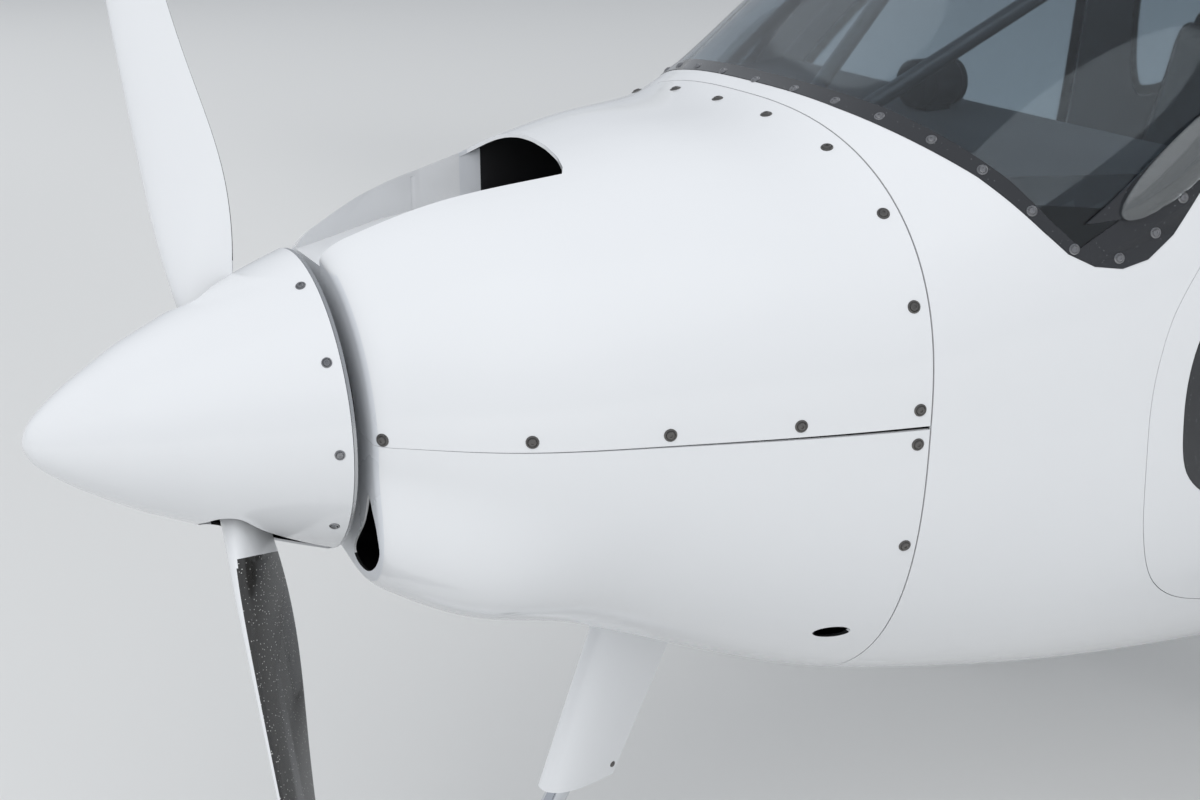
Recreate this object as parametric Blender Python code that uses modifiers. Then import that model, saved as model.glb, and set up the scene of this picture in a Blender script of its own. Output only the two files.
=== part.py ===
"""Two-seat high-wing ultralight aircraft, standing parked on its tricycle gear.

Metres, +Z up, nose toward -Y, port side toward +X. Lengths along the aircraft are stations,
counted aft from the spinner's tip; heights are counted from the propeller's axis.
"""
import math

import bmesh
import bpy
from mathutils import Matrix, Vector

# Overall size
LENGTH = 6.50
SPAN = 10.71
NOSE_Y = -LENGTH / 2
AXIS_Z = 1.03
GAP = 0.0003

# Shell walls and sheets
FUSELAGE_WALL = 0.005
COWL_WALL = 0.005
PANE = 0.004
SHEET = 0.006
TAIL_SKIN = 0.0025

# Stations
FIREWALL = 0.908
COWL_FRONT = 0.338
BOOM_START, BOOM_END = 2.70, 5.20
TAIL_SHIFT = LENGTH - 6.50
CABIN_SHIFT = FIREWALL - 0.908


def aft(station):
    """Station of the table moved with the length: the tail boom stretches, the tail moves whole."""
    share = (station - BOOM_START) / (BOOM_END - BOOM_START)
    return station + TAIL_SHIFT * min(max(share, 0.0), 1.0)


def cabin(outline):
    """Outline of station and height that moves with the firewall."""
    return tuple((station + CABIN_SHIFT, height) for station, height in outline)


TAIL_END = aft(6.14)

# Fuselage outer sections: station, half width, top, bottom, widest height, upper and lower roundness
SECTIONS = tuple((aft(row[0]), *row[1:]) for row in (
    (0.338, 0.172, 0.172, -0.172, 0.00, 2.00, 2.00),
    (0.346, 0.188, 0.187, -0.187, 0.00, 2.00, 2.00),
    (0.365, 0.203, 0.198, -0.202, 0.00, 2.02, 2.02),
    (0.450, 0.262, 0.232, -0.255, 0.00, 2.15, 2.15),
    (0.600, 0.325, 0.266, -0.320, 0.00, 2.35, 2.30),
    (0.750, 0.375, 0.294, -0.380, 0.00, 2.50, 2.45),
    (0.908, 0.418, 0.316, -0.435, 0.00, 2.64, 2.60),
    (1.000, 0.440, 0.366, -0.456, 0.00, 2.68, 2.60),
    (1.100, 0.464, 0.440, -0.474, 0.00, 2.70, 2.60),
    (1.250, 0.500, 0.540, -0.496, 0.02, 2.75, 2.60),
    (1.500, 0.540, 0.672, -0.520, 0.05, 2.90, 2.60),
    (1.750, 0.558, 0.738, -0.540, 0.08, 3.10, 2.60),
    (2.050, 0.560, 0.758, -0.545, 0.09, 3.20, 2.60),
    (2.350, 0.548, 0.748, -0.530, 0.10, 3.10, 2.60),
    (2.700, 0.490, 0.700, -0.485, 0.10, 2.85, 2.50),
    (3.050, 0.405, 0.625, -0.425, 0.09, 2.60, 2.40),
    (3.450, 0.315, 0.535, -0.355, 0.08, 2.35, 2.30),
    (3.900, 0.242, 0.450, -0.290, 0.07, 2.20, 2.20),
    (4.500, 0.185, 0.365, -0.222, 0.06, 2.10, 2.10),
    (5.200, 0.140, 0.285, -0.168, 0.05, 2.00, 2.00),
    (5.700, 0.112, 0.235, -0.140, 0.04, 2.00, 2.00),
    (6.140, 0.085, 0.195, -0.118, 0.03, 2.00, 2.00),
))
COLUMNS = 14

# Glazing and door outlines in side view: station, height
WINDSCREEN = cabin((
    (0.926, 0.90), (0.926, 0.331), (0.937, 0.317), (0.965, 0.292), (0.997, 0.264),
    (1.021, 0.237), (1.045, 0.209), (1.069, 0.184), (1.098, 0.169), (1.130, 0.165),
    (1.160, 0.174), (1.190, 0.200), (1.222, 0.243), (1.300, 0.336), (1.410, 0.448),
    (1.520, 0.540), (1.615, 0.600), (1.615, 0.90),
))
DOOR = cabin((
    (1.178, -0.03), (1.184, 0.07), (1.212, 0.145), (1.285, 0.248), (1.430, 0.385),
    (1.570, 0.492), (1.670, 0.545), (1.820, 0.565), (1.980, 0.560), (2.056, 0.500),
    (2.078, 0.330), (2.066, 0.080), (2.010, -0.160), (1.930, -0.270), (1.800, -0.305),
    (1.560, -0.312), (1.360, -0.305), (1.255, -0.262), (1.200, -0.170),
))
DOOR_WINDOW = cabin((
    (1.222, -0.02), (1.228, 0.070), (1.268, 0.152), (1.350, 0.248), (1.470, 0.358),
    (1.590, 0.448), (1.690, 0.494), (1.820, 0.510), (1.950, 0.502), (2.008, 0.450),
    (2.026, 0.310), (2.010, 0.090), (1.960, -0.070), (1.880, -0.130), (1.700, -0.148),
    (1.480, -0.150), (1.320, -0.140), (1.244, -0.100),
))
QUARTER_WINDOW = cabin((
    (2.145, 0.440), (2.160, 0.180), (2.230, 0.130), (2.420, 0.200), (2.600, 0.330),
    (2.640, 0.420), (2.560, 0.480), (2.320, 0.500), (2.190, 0.495),
))
FLOOR_Z = -0.400
FLOOR_END = 2.540
PANEL = cabin(((0.975, 0.262), (1.310, 0.268), (1.315, 0.252), (1.235, 0.240), (1.215, -0.06),
               (1.190, -0.06), (1.200, 0.224), (0.970, 0.240)))

# Top scoop in plan, across and along: valley with its mouth, and the duct under the skin behind it
DUCT_FLOOR = 0.165
SCOOP = ((0.0535, 0.330), (0.106, 0.605), (0.060, 0.622), (-0.040, 0.637), (-0.125, 0.640),
         (-0.180, 0.631), (-0.197, 0.606), (-0.0456, 0.330))
DUCT = ((0.086, 0.500), (0.106, 0.605), (0.106, 0.810), (-0.197, 0.810), (-0.197, 0.606), (-0.139, 0.500))
DUCT_BLOCK = ((0.0596, 0.341), (0.110, 0.605), (0.110, 0.800), (-0.201, 0.800), (-0.201, 0.606),
              (-0.0556, 0.341))

# Ear inlets low on both sides: swell of the lip, and the opening's radii and angles below level
EAR_SWELL, EAR_TURN, EAR_SPREAD, EAR_FADE = 0.044, 136.0, 38.0, 0.62
EAR_INNER, EAR_OUTER, EAR_FROM, EAR_TO = 0.158, 0.206, 32.0, 68.0
OUTLET = (0.847, -0.280, 0.021, 0.010)

# Wing: span station, leading edge, trailing edge, thickness ratio
WING = (
    (0.300, 1.640, 2.570, 0.135),
    (2.000, 1.655, 2.5517, 0.135),
    (3.600, 1.720, 2.5345, 0.130),
    (SPAN / 2 - 0.405, 1.850, 2.520, 0.120),
    (SPAN / 2 - 0.155, 1.930, 2.505, 0.110),
    (SPAN / 2 - 0.045, 2.020, 2.485, 0.095),
    (SPAN / 2, 2.130, 2.450, 0.060),
)
WING_ROOT_Z = 0.655
DIHEDRAL = math.tan(math.radians(1.2))
WING_CAMBER = 0.028
WING_SKIN = 0.0025
FLAPERON_CHORD = 0.165
FLAPERON_IN, FLAPERON_OUT = 0.600, SPAN / 2 - 0.415
COVE = 0.040
LUG = 0.006
TIE_X, TIE_STATION, TIE_DROP = 2.60, 2.05, 0.045
FLAPERON_LUGS = (0.90, 2.10, 3.35, 4.60)
ELEVATOR_LUGS = (-0.80, -0.28, 0.28, 0.80)
RUDDER_LUGS = (0.02, 0.36, 0.68)

# Tail
FIN = tuple((height, aft(lead)) for height, lead in ((0.10, 5.360), (0.34, 5.520), (0.62, 5.660),
                                                     (0.905, 5.800)))
FIN_REAR = aft(6.145)
FIN_FULL = aft(6.42)
RUDDER_HINGE = aft(6.178)
RUDDER = tuple((height, aft(trail)) for height, trail in ((-0.105, 6.395), (0.20, 6.435), (0.50, 6.425),
                                                          (0.800, 6.410)))
TAIL_Z = 0.925
TAILPLANE = tuple((across, aft(lead), aft(trail)) for across, lead, trail in (
    (0.0, 5.880, 6.500), (0.55, 5.930, 6.493), (1.00, 5.990, 6.480), (1.09, 6.060, 6.462)))
ELEVATOR_HINGE = aft(6.318)
TAIL_RATIO = 0.085

# Propeller and spinner
PROP_RADIUS = 0.80
PROP_STATION = 0.225
BLADE_LEAN = math.radians(-26.0)
SPINNER_RADIUS, SPINNER_LENGTH = 0.178, 0.315
# Spinner profile: share of its length, share of its radius
SPINNER = ((0.0, 0.0), (0.0064, 0.053), (0.019, 0.100), (0.038, 0.143), (0.070, 0.198), (0.114, 0.260),
           (0.175, 0.337), (0.254, 0.422), (0.349, 0.520), (0.476, 0.624), (0.635, 0.750), (0.794, 0.865),
           (1.0, 1.0))
HUB_RADIUS = 0.055
BLADE = (
    # share of the blade's length, chord, thickness, pitch in degrees, shift towards the rear edge
    (0.0000, 0.046, 0.046, 60.0, 0.0), (0.0734, 0.058, 0.042, 53.0, 0.0), (0.1270, 0.076, 0.034, 50.3, 0.002),
    (0.2010, 0.097, 0.027, 47.1, 0.004), (0.2850, 0.107, 0.022, 44.3, 0.004),
    (0.4630, 0.096, 0.015, 39.9, -0.007), (0.6640, 0.082, 0.011, 35.0, -0.018),
    (0.8660, 0.070, 0.008, 31.0, -0.020), (0.9600, 0.054, 0.007, 29.5, -0.019),
    (1.0000, 0.026, 0.004, 29.0, -0.018),
)

# Landing gear
NOSE_AXLE, MAIN_AXLE = 0.505, 2.060
TRACK = 1.60
NOSE_TYRE, MAIN_TYRE = (0.145, 0.090), (0.165, 0.110)
RAKE = math.radians(28.0)
# Main gear leg: share of the way out, height over the axle, chord, thickness
LEG_IN = 0.160
LEG = ((0.000, 0.365, 0.140, 0.030), (0.357, 0.320, 0.128, 0.028), (0.675, 0.225, 0.112, 0.025),
       (0.873, 0.120, 0.100, 0.022), (1.000, -0.030, 0.078, 0.018))
STRUT_FOOT = (NOSE_AXLE + 0.133, -0.650)
STRUT_RADIUS = 0.016
LEG_ROOT, LEG_TIP = (NOSE_AXLE + 0.274, -0.340), (NOSE_AXLE + 0.168, -0.632)


def clear_scene():
    """Empty the file."""
    for found in list(bpy.data.objects):
        bpy.data.objects.remove(found, do_unlink=True)
    for found in list(bpy.data.meshes):
        bpy.data.meshes.remove(found)


clear_scene()
AIRCRAFT = bpy.data.collections.new("ultralight_aircraft")
CUTTERS = bpy.data.collections.new("cutters")
bpy.context.scene.collection.children.link(AIRCRAFT)
bpy.context.scene.collection.children.link(CUTTERS)


def paint(name, colour, roughness, metallic=0.0, alpha=1.0):
    """One Principled material."""
    made = bpy.data.materials.new(name)
    made.use_nodes = True
    shader = made.node_tree.nodes["Principled BSDF"]
    shader.inputs["Base Color"].default_value = (*colour, 1.0)
    shader.inputs["Roughness"].default_value = roughness
    shader.inputs["Metallic"].default_value = metallic
    shader.inputs["Alpha"].default_value = alpha
    made.diffuse_color = (*colour, alpha)
    return made


WHITE = paint("white_gelcoat", (0.86, 0.87, 0.88), 0.16)
ACRYLIC = paint("tinted_acrylic", (0.05, 0.07, 0.10), 0.05, alpha=0.5)
BLACK = paint("black_plastic", (0.02, 0.02, 0.022), 0.45)
ALUMINIUM = paint("aluminium", (0.62, 0.63, 0.65), 0.35, 1.0)
CHROME = paint("chrome", (0.75, 0.76, 0.78), 0.12, 1.0)
RUBBER = paint("tyre_rubber", (0.025, 0.025, 0.027), 0.8)
FABRIC = paint("seat_fabric", (0.16, 0.17, 0.19), 0.9)
PANEL_GREY = paint("panel_grey", (0.10, 0.10, 0.11), 0.6)
STEEL = paint("painted_steel", (0.10, 0.10, 0.11), 0.4, 0.6)


def place(station, height, across=0.0):
    """World point from station and height."""
    return Vector((across, NOSE_Y + station, AXIS_Z + height))


def keep(name, mesh, material, smooth=True):
    """One part of the aircraft."""
    mesh.materials.clear()
    mesh.materials.append(material)
    made = bpy.data.objects.new(name, mesh)
    AIRCRAFT.objects.link(made)
    for face in mesh.polygons:
        face.use_smooth = smooth
    return made


def tool(name, mesh):
    """One cutting shape."""
    made = bpy.data.objects.new(name, mesh)
    CUTTERS.objects.link(made)
    made.hide_render = True
    made.display_type = "WIRE"
    return made


def combine(target, other, operation):
    """Exact Boolean modifier on a part."""
    step = target.modifiers.new(operation.lower(), "BOOLEAN")
    step.operation = operation
    step.solver = "EXACT"
    step.object = other


def bevel(target, width, segments=2, angle=30.0):
    """Bevelled edges."""
    step = target.modifiers.new("bevel", "BEVEL")
    step.width = width
    step.segments = segments
    step.limit_method = "ANGLE"
    step.angle_limit = math.radians(angle)


def hermite(table, column, station):
    """Smooth value of a table column at a station."""
    last = len(table) - 1
    if station <= table[0][0]:
        return table[0][column]
    if station >= table[last][0]:
        return table[last][column]
    index = max(i for i in range(last) if table[i][0] <= station)

    def slope(i):
        if i == 0 or i == last:
            return None
        before = (table[i][column] - table[i - 1][column]) / (table[i][0] - table[i - 1][0])
        after = (table[i + 1][column] - table[i][column]) / (table[i + 1][0] - table[i][0])
        if before * after <= 0:
            return 0.0
        return 2 * before * after / (before + after)

    x0, x1 = table[index][0], table[index + 1][0]
    y0, y1 = table[index][column], table[index + 1][column]
    width = x1 - x0
    chord = (y1 - y0) / width
    m0, m1 = slope(index), slope(index + 1)
    m0 = chord if m0 is None else m0
    m1 = chord if m1 is None else m1
    t = (station - x0) / width
    return ((2 * t ** 3 - 3 * t ** 2 + 1) * y0 + (t ** 3 - 2 * t ** 2 + t) * width * m0
            + (-2 * t ** 3 + 3 * t ** 2) * y1 + (t ** 3 - t ** 2) * width * m1)


def ear_swell(station, angle):
    """Outward swell of the cowling around the ear inlets, fading aft."""
    turn = (math.degrees(from_top(angle)) - EAR_TURN) / EAR_SPREAD
    along = min(max((station - 0.365) / (EAR_FADE - 0.365), 0.0), 1.0)
    if abs(turn) >= 1 or along >= 1:
        return 0.0
    return EAR_SWELL * math.cos(turn * math.pi / 2) ** 2 * math.cos(along * math.pi / 2) ** 2


def skin_point(station, angle, inset=0.0):
    """Point of the fuselage skin; angle 0 is the top, pi the bottom, positive to port."""
    half, top, bottom, middle, up, down = (hermite(SECTIONS, c, station) for c in range(1, 7))
    sine, cosine = math.sin(angle), math.cos(angle)
    power = up if cosine >= 0 else down
    reach = (top - middle) if cosine >= 0 else (middle - bottom)
    across = (half - inset) * math.copysign(abs(sine) ** (2 / power), sine)
    height = middle + (reach - inset) * math.copysign(abs(cosine) ** (2 / power), cosine)
    swell = ear_swell(station, angle)
    if swell:
        grown = 1 + swell / math.hypot(across, height)
        across, height = across * grown, height * grown
    if abs(sine) < 1e-9:
        across = 0.0
    return across, height


def finish_mesh(name, work):
    """Mesh from a closed bmesh, faces turned outward."""
    bmesh.ops.remove_doubles(work, verts=work.verts, dist=5e-6)
    bmesh.ops.recalc_face_normals(work, faces=work.faces)
    mesh = bpy.data.meshes.new(name)
    work.to_mesh(mesh)
    work.free()
    return mesh


def from_top(angle):
    """Angle away from the top, the same on both sides."""
    turn = angle % (2 * math.pi)
    return min(turn, 2 * math.pi - turn)


def patch(work, low, high, j, k, angles):
    """Two triangles between stations, always split from the top side forward to the bottom side aft."""
    near, far = (j, k) if from_top(angles[j]) < from_top(angles[k]) else (k, j)
    work.faces.new((low[near], low[far], high[far]))
    work.faces.new((low[near], high[far], high[near]))


def shell(name, stations, angles, wall, outset=0.0, centre_gap=0.0):
    """Lofted strip of the fuselage skin with a wall, closed on all edges."""
    work = bmesh.new()
    outer, inner = [], []
    for station in stations:
        depth = wall(station) if callable(wall) else wall
        rows = ([], [])
        for angle in angles:
            for row, inset in zip(rows, (-outset, depth - outset)):
                across, height = skin_point(station, angle, inset)
                if centre_gap and abs(across) < abs(centre_gap):
                    across = centre_gap
                row.append(work.verts.new(place(station, height, across)))
        outer.append(rows[0])
        inner.append(rows[1])
    last_s, last_a = len(stations) - 1, len(angles) - 1
    for i in range(last_s):
        for j in range(last_a):
            patch(work, outer[i], outer[i + 1], j, j + 1, angles)
            patch(work, inner[i], inner[i + 1], j, j + 1, angles)
        for j in (0, last_a):
            work.faces.new((outer[i][j], outer[i + 1][j], inner[i + 1][j], inner[i][j]))
    for j in range(last_a):
        for i in (0, last_s):
            work.faces.new((outer[i][j], outer[i][j + 1], inner[i][j + 1], inner[i][j]))
    return finish_mesh(name, work)


def loft(name, rings):
    """Closed body through rings of unlike sections."""
    work = bmesh.new()
    rows = [[work.verts.new(point) for point in ring] for ring in rings]
    count = len(rows[0])
    for low, high in zip(rows, rows[1:]):
        for j in range(count):
            k = (j + 1) % count
            work.faces.new((low[j], low[k], high[k], high[j]))
    work.faces.new(rows[0])
    work.faces.new(rows[-1])
    return finish_mesh(name, work)


def plug(name, stations, angles, outset):
    """Solid fuselage shape, grown by outset."""
    full = [a for a in angles] + [-a for a in reversed(angles[1:-1])]
    work = bmesh.new()
    rows = []
    for station in stations:
        points = [skin_point(station, angle, -outset) for angle in full]
        rows.append([work.verts.new(place(station, height, across)) for across, height in points])
    count = len(full)
    for low, high in zip(rows, rows[1:]):
        for j in range(count):
            patch(work, low, high, j, (j + 1) % count, full)
    work.faces.new(rows[0])
    work.faces.new(rows[-1])
    return finish_mesh(name, work)


def flat(name, outline, depth, turn):
    """Prism from an outline: a filled 2D curve, extruded both ways and turned into place."""
    curve = bpy.data.curves.new(name, "CURVE")
    curve.dimensions = "2D"
    curve.fill_mode = "BOTH"
    curve.extrude = depth / 2
    line = curve.splines.new("POLY")
    line.points.add(len(outline) - 1)
    for point, (u, v) in zip(line.points, outline):
        point.co = (u, v, 0.0, 1.0)
    line.use_cyclic_u = True
    holder = bpy.data.objects.new(name, curve)
    bpy.context.scene.collection.objects.link(holder)
    bpy.context.view_layer.update()
    mesh = bpy.data.meshes.new_from_object(holder)
    bpy.data.objects.remove(holder, do_unlink=True)
    bpy.data.curves.remove(curve)
    mesh.transform(turn)
    work = bmesh.new()
    work.from_mesh(mesh)
    bpy.data.meshes.remove(mesh)
    return finish_mesh(name, work)


def side_prism(name, outline, low, high):
    """Prism across the aircraft from an outline of station and height."""
    turn = Matrix(((0, 0, 1, (low + high) / 2), (1, 0, 0, NOSE_Y), (0, 1, 0, AXIS_Z), (0, 0, 0, 1)))
    return flat(name, outline, high - low, turn)


def long_prism(name, outline, low, high):
    """Prism along the aircraft from an outline across and up."""
    turn = Matrix(((1, 0, 0, 0), (0, 0, -1, NOSE_Y + (low + high) / 2), (0, 1, 0, AXIS_Z), (0, 0, 0, 1)))
    return flat(name, outline, high - low, turn)


def plan_prism(name, outline, low, high):
    """Upright prism from an outline across and along."""
    turn = Matrix(((1, 0, 0, 0), (0, 1, 0, NOSE_Y), (0, 0, 1, AXIS_Z + (low + high) / 2), (0, 0, 0, 1)))
    return flat(name, outline, high - low, turn)


def spline(points, steps):
    """Closed smooth outline through points."""
    count = len(points)
    made = []
    for i in range(count):
        a, b, c, d = (points[(i + k) % count] for k in (-1, 0, 1, 2))
        for step in range(steps):
            t = step / steps
            made.append(tuple(0.5 * (2 * q + (r - p) * t + (2 * p - 5 * q + 4 * r - w) * t * t
                                     + (3 * q - p - 3 * r + w) * t ** 3)
                              for p, q, r, w in zip(a, b, c, d)))
    return made


def offset(outline, distance):
    """Outline moved inward by distance."""
    count = len(outline)
    area = sum(outline[i][0] * outline[(i + 1) % count][1] - outline[(i + 1) % count][0] * outline[i][1]
               for i in range(count))
    turn = 1.0 if area > 0 else -1.0
    made = []
    for i in range(count):
        before, here, after = (Vector(outline[(i + k) % count]) for k in (-1, 0, 1))
        one, two = (here - before).normalized(), (after - here).normalized()
        n_one, n_two = Vector((-one.y, one.x)) * turn, Vector((-two.y, two.x)) * turn
        mid = (n_one + n_two).normalized()
        made.append(tuple(here + mid * (distance / max(0.5, mid.dot(n_one)))))
    return made


def tube(name, points, radius, resolution=3, closed=False):
    """Capped round tube through points."""
    curve = bpy.data.curves.new(name, "CURVE")
    curve.dimensions = "3D"
    curve.bevel_depth = radius
    curve.bevel_resolution = resolution
    curve.use_fill_caps = True
    line = curve.splines.new("POLY")
    line.points.add(len(points) - 1)
    for point, where in zip(line.points, points):
        point.co = (*where, 1.0)
    line.use_cyclic_u = closed
    holder = bpy.data.objects.new(name, curve)
    bpy.context.scene.collection.objects.link(holder)
    bpy.context.view_layer.update()
    mesh = bpy.data.meshes.new_from_object(holder)
    bpy.data.objects.remove(holder, do_unlink=True)
    bpy.data.curves.remove(curve)
    work = bmesh.new()
    work.from_mesh(mesh)
    bpy.data.meshes.remove(mesh)
    return finish_mesh(name, work)


def turned(name, profile, centre, axis, material, steps=32):
    """Solid of revolution: profile of radius and distance along the axis."""
    work = bmesh.new()
    points = [work.verts.new((radius, 0.0, along)) for radius, along in profile]
    for one, two in zip(points, points[1:]):
        work.edges.new((one, two))
    if profile[0][0] > 1e-6 and profile[-1][0] > 1e-6:
        work.edges.new((points[-1], points[0]))
    mesh = bpy.data.meshes.new(name)
    work.to_mesh(mesh)
    work.free()
    made = keep(name, mesh, material)
    step = made.modifiers.new("screw", "SCREW")
    step.axis = "Z"
    step.steps = step.render_steps = steps
    step.use_merge_vertices = True
    step.merge_threshold = 0.0001
    step.use_smooth_shade = True
    step.use_normal_calculate = True
    lean = Vector((0, 0, 1)).rotation_difference(Vector(axis)).to_matrix().to_4x4()
    made.matrix_world = Matrix.Translation(centre) @ lean
    bpy.context.view_layer.update()
    shaped = bpy.data.meshes.new_from_object(made.evaluated_get(bpy.context.evaluated_depsgraph_get()))
    shaped.transform(made.matrix_world)
    made.modifiers.clear()
    made.matrix_world = Matrix.Identity(4)
    work = bmesh.new()
    work.from_mesh(shaped)
    bpy.data.meshes.remove(shaped)
    solid = finish_mesh(name, work)
    solid.materials.append(material)
    for face in solid.polygons:
        face.use_smooth = True
    old = made.data
    made.data = solid
    bpy.data.meshes.remove(old)
    return made


def fraction(low, high, count):
    """Evenly spaced values, ends included."""
    return [low + (high - low) * i / (count - 1) for i in range(count)]


def angles_between(low, high, count):
    """Section angles in degrees."""
    return [math.radians(value) for value in fraction(low, high, count)]


# Fuselage halves
body_stations = [FIREWALL + GAP] + [row[0] for row in SECTIONS if row[0] > FIREWALL]
round_angles = angles_between(0.0, 180.0, COLUMNS + 1)
sides = (("left", 1.0), ("right", -1.0))

outer_plug = tool("fuselage_outside", plug("fuselage_outside", body_stations, round_angles, GAP))
inner_plug = tool("fuselage_inside", plug("fuselage_inside", body_stations, round_angles,
                                          -(FUSELAGE_WALL + GAP)))
cowl_stations = [row[0] for row in SECTIONS if row[0] < FIREWALL] + [FIREWALL]
cowl_plug = tool("cowl_outside", plug("cowl_outside", cowl_stations, round_angles, GAP))

screen_cut = tool("windscreen_opening", side_prism("windscreen_opening", WINDSCREEN, -1.0, 1.0))
door_line = spline(DOOR, 2)
window_line = spline(DOOR_WINDOW, 2)
quarter_line = spline(QUARTER_WINDOW, 2)


def side_span(side, low=0.10, high=0.80):
    """Span of a cutter on one side."""
    return (low, high) if side > 0 else (-high, -low)


for label, side in sides:
    span = side_span(side)
    turned_angles = [side * value for value in round_angles]
    half = keep("fuselage_" + label, shell("fuselage_" + label, body_stations, turned_angles,
                                           FUSELAGE_WALL, centre_gap=side * GAP / 2), WHITE)
    combine(half, screen_cut, "DIFFERENCE")
    opening = tool("door_opening_" + label, side_prism("door_opening_" + label, door_line, *span))
    combine(half, opening, "DIFFERENCE")
    quarter = tool("quarter_opening_" + label, side_prism("quarter_opening_" + label, quarter_line, *span))
    combine(half, quarter, "DIFFERENCE")

    # Gull-wing door with its pane
    flank = [row[0] for row in SECTIONS if 0.95 < row[0] < 2.4]
    door = keep("door_" + label, shell("door_" + label, flank, turned_angles, FUSELAGE_WALL,
                                       centre_gap=side * GAP / 2), WHITE)
    leaf = tool("door_leaf_" + label, side_prism("door_leaf_" + label, offset(door_line, 0.003), *span))
    combine(door, leaf, "INTERSECT")
    glass_hole = tool("door_glass_hole_" + label, side_prism("door_glass_hole_" + label, window_line, *span))
    combine(door, glass_hole, "DIFFERENCE")
    pane = keep("door_window_" + label, shell("door_window_" + label, flank, turned_angles, PANE,
                                              centre_gap=side * GAP / 2), ACRYLIC)
    pane_edge = tool("door_pane_" + label,
                     side_prism("door_pane_" + label, offset(window_line, GAP), *span))
    combine(pane, pane_edge, "INTERSECT")

    # Window behind the door
    behind = [row[0] for row in SECTIONS if 2.0 < row[0] < 3.1]
    rear_pane = keep("quarter_window_" + label, shell("quarter_window_" + label, behind, turned_angles, PANE,
                                                      centre_gap=side * GAP / 2), ACRYLIC)
    rear_edge = tool("quarter_pane_" + label,
                     side_prism("quarter_pane_" + label, offset(quarter_line, GAP), *span))
    combine(rear_pane, rear_edge, "INTERSECT")

# Windscreen over both halves
screen_stations = [FIREWALL + GAP] + [row[0] for row in SECTIONS if FIREWALL < row[0] < 1.8]
over_angles = [-a for a in reversed(round_angles[1:9])] + [a for a in round_angles[0:9]]
windscreen = keep("windscreen", shell("windscreen", screen_stations, over_angles, PANE), ACRYLIC)
screen_edge = tool("windscreen_edge", side_prism("windscreen_edge", offset(WINDSCREEN, GAP), -1.0, 1.0))
combine(windscreen, screen_edge, "INTERSECT")

# Engine cowling, upper and lower, with a thick front lip
quarter_turn = math.radians(90.0)
seam = math.radians(0.03)
half_angles = round_angles[:COLUMNS // 2]
upper_angles = ([-(quarter_turn - seam)] + [-a for a in reversed(half_angles[1:])]
                + half_angles + [quarter_turn - seam])
lower_angles = ([quarter_turn + seam] + [math.pi - a for a in reversed(half_angles)]
                + [math.pi + a for a in half_angles[1:]] + [3 * quarter_turn - seam])


def cowl_wall(station):
    """Wall of the cowling: deep at the front face, thin behind it."""
    return 0.062 if station < 0.340 else COWL_WALL


cowl_upper = keep("cowl_upper", shell("cowl_upper", cowl_stations, upper_angles, cowl_wall), WHITE)
cowl_lower = keep("cowl_lower", shell("cowl_lower", cowl_stations, lower_angles, cowl_wall), WHITE)
duct_stations = [row[0] for row in SECTIONS if row[0] < FIREWALL]
block = tool("scoop_block", plan_prism("scoop_block", DUCT_BLOCK, DUCT_FLOOR - 0.004, 0.5))
combine(block, tool("scoop_cover", plug("scoop_cover", duct_stations, round_angles, -0.002)), "INTERSECT")
combine(cowl_upper, block, "UNION")
void = tool("scoop_duct", plan_prism("scoop_duct", DUCT, DUCT_FLOOR, 0.5))
combine(void, tool("scoop_ceiling", plug("scoop_ceiling", cowl_stations, round_angles, -COWL_WALL)),
        "INTERSECT")
combine(cowl_upper, void, "DIFFERENCE")
combine(cowl_upper, tool("scoop_mouth", plan_prism("scoop_mouth", SCOOP, DUCT_FLOOR, 0.5)), "DIFFERENCE")
ear_arc = [math.radians(EAR_FROM + (EAR_TO - EAR_FROM) * i / 6) for i in range(7)]
EAR = ([(EAR_OUTER * math.cos(a), -EAR_OUTER * math.sin(a)) for a in ear_arc]
       + [(EAR_INNER * math.cos(a), -EAR_INNER * math.sin(a)) for a in reversed(ear_arc)])
oval = [(OUTLET[0] + OUTLET[2] * math.cos(a), OUTLET[1] + OUTLET[3] * math.sin(a))
        for a in (2 * math.pi * i / 12 for i in range(12))]
for label, side in sides:
    ear = tool("ear_inlet_" + label, long_prism("ear_inlet_" + label, [(side * x, z) for x, z in EAR],
                                                0.30, 0.39))
    combine(cowl_lower, ear, "DIFFERENCE")
    combine(cowl_lower, tool("oval_outlet_" + label, side_prism("oval_outlet_" + label, oval,
                                                                *side_span(side, 0.20, 0.60))),
            "DIFFERENCE")

# Firewall, floor, rear bulkhead and panel, trimmed to the shell inside
firewall = keep("firewall", long_prism("firewall", ((-0.6, -0.6), (0.6, -0.6), (0.6, 0.6), (-0.6, 0.6)),
                                       FIREWALL + 0.004, FIREWALL + 0.004 + SHEET), ALUMINIUM, smooth=False)
combine(firewall, inner_plug, "INTERSECT")
floor_start = FIREWALL + 0.004 + SHEET + GAP
floor = keep("cabin_floor", side_prism("cabin_floor", ((floor_start, FLOOR_Z), (floor_start, FLOOR_Z - SHEET),
                                                       (FLOOR_END, FLOOR_Z - SHEET), (FLOOR_END, FLOOR_Z)),
                                       -0.7, 0.7), BLACK, smooth=False)
combine(floor, inner_plug, "INTERSECT")
bulkhead = keep("rear_bulkhead", long_prism("rear_bulkhead", ((-0.7, -0.7), (0.7, -0.7), (0.7, 0.9),
                                                              (-0.7, 0.9)), FLOOR_END + GAP,
                                          FLOOR_END + SHEET), WHITE,
                smooth=False)
combine(bulkhead, inner_plug, "INTERSECT")
panel = keep("instrument_panel", side_prism("instrument_panel", PANEL, -0.7, 0.7), PANEL_GREY, smooth=False)
combine(panel, inner_plug, "INTERSECT")
shelf_front, shelf_rear = PANEL[0], PANEL[1]
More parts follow.
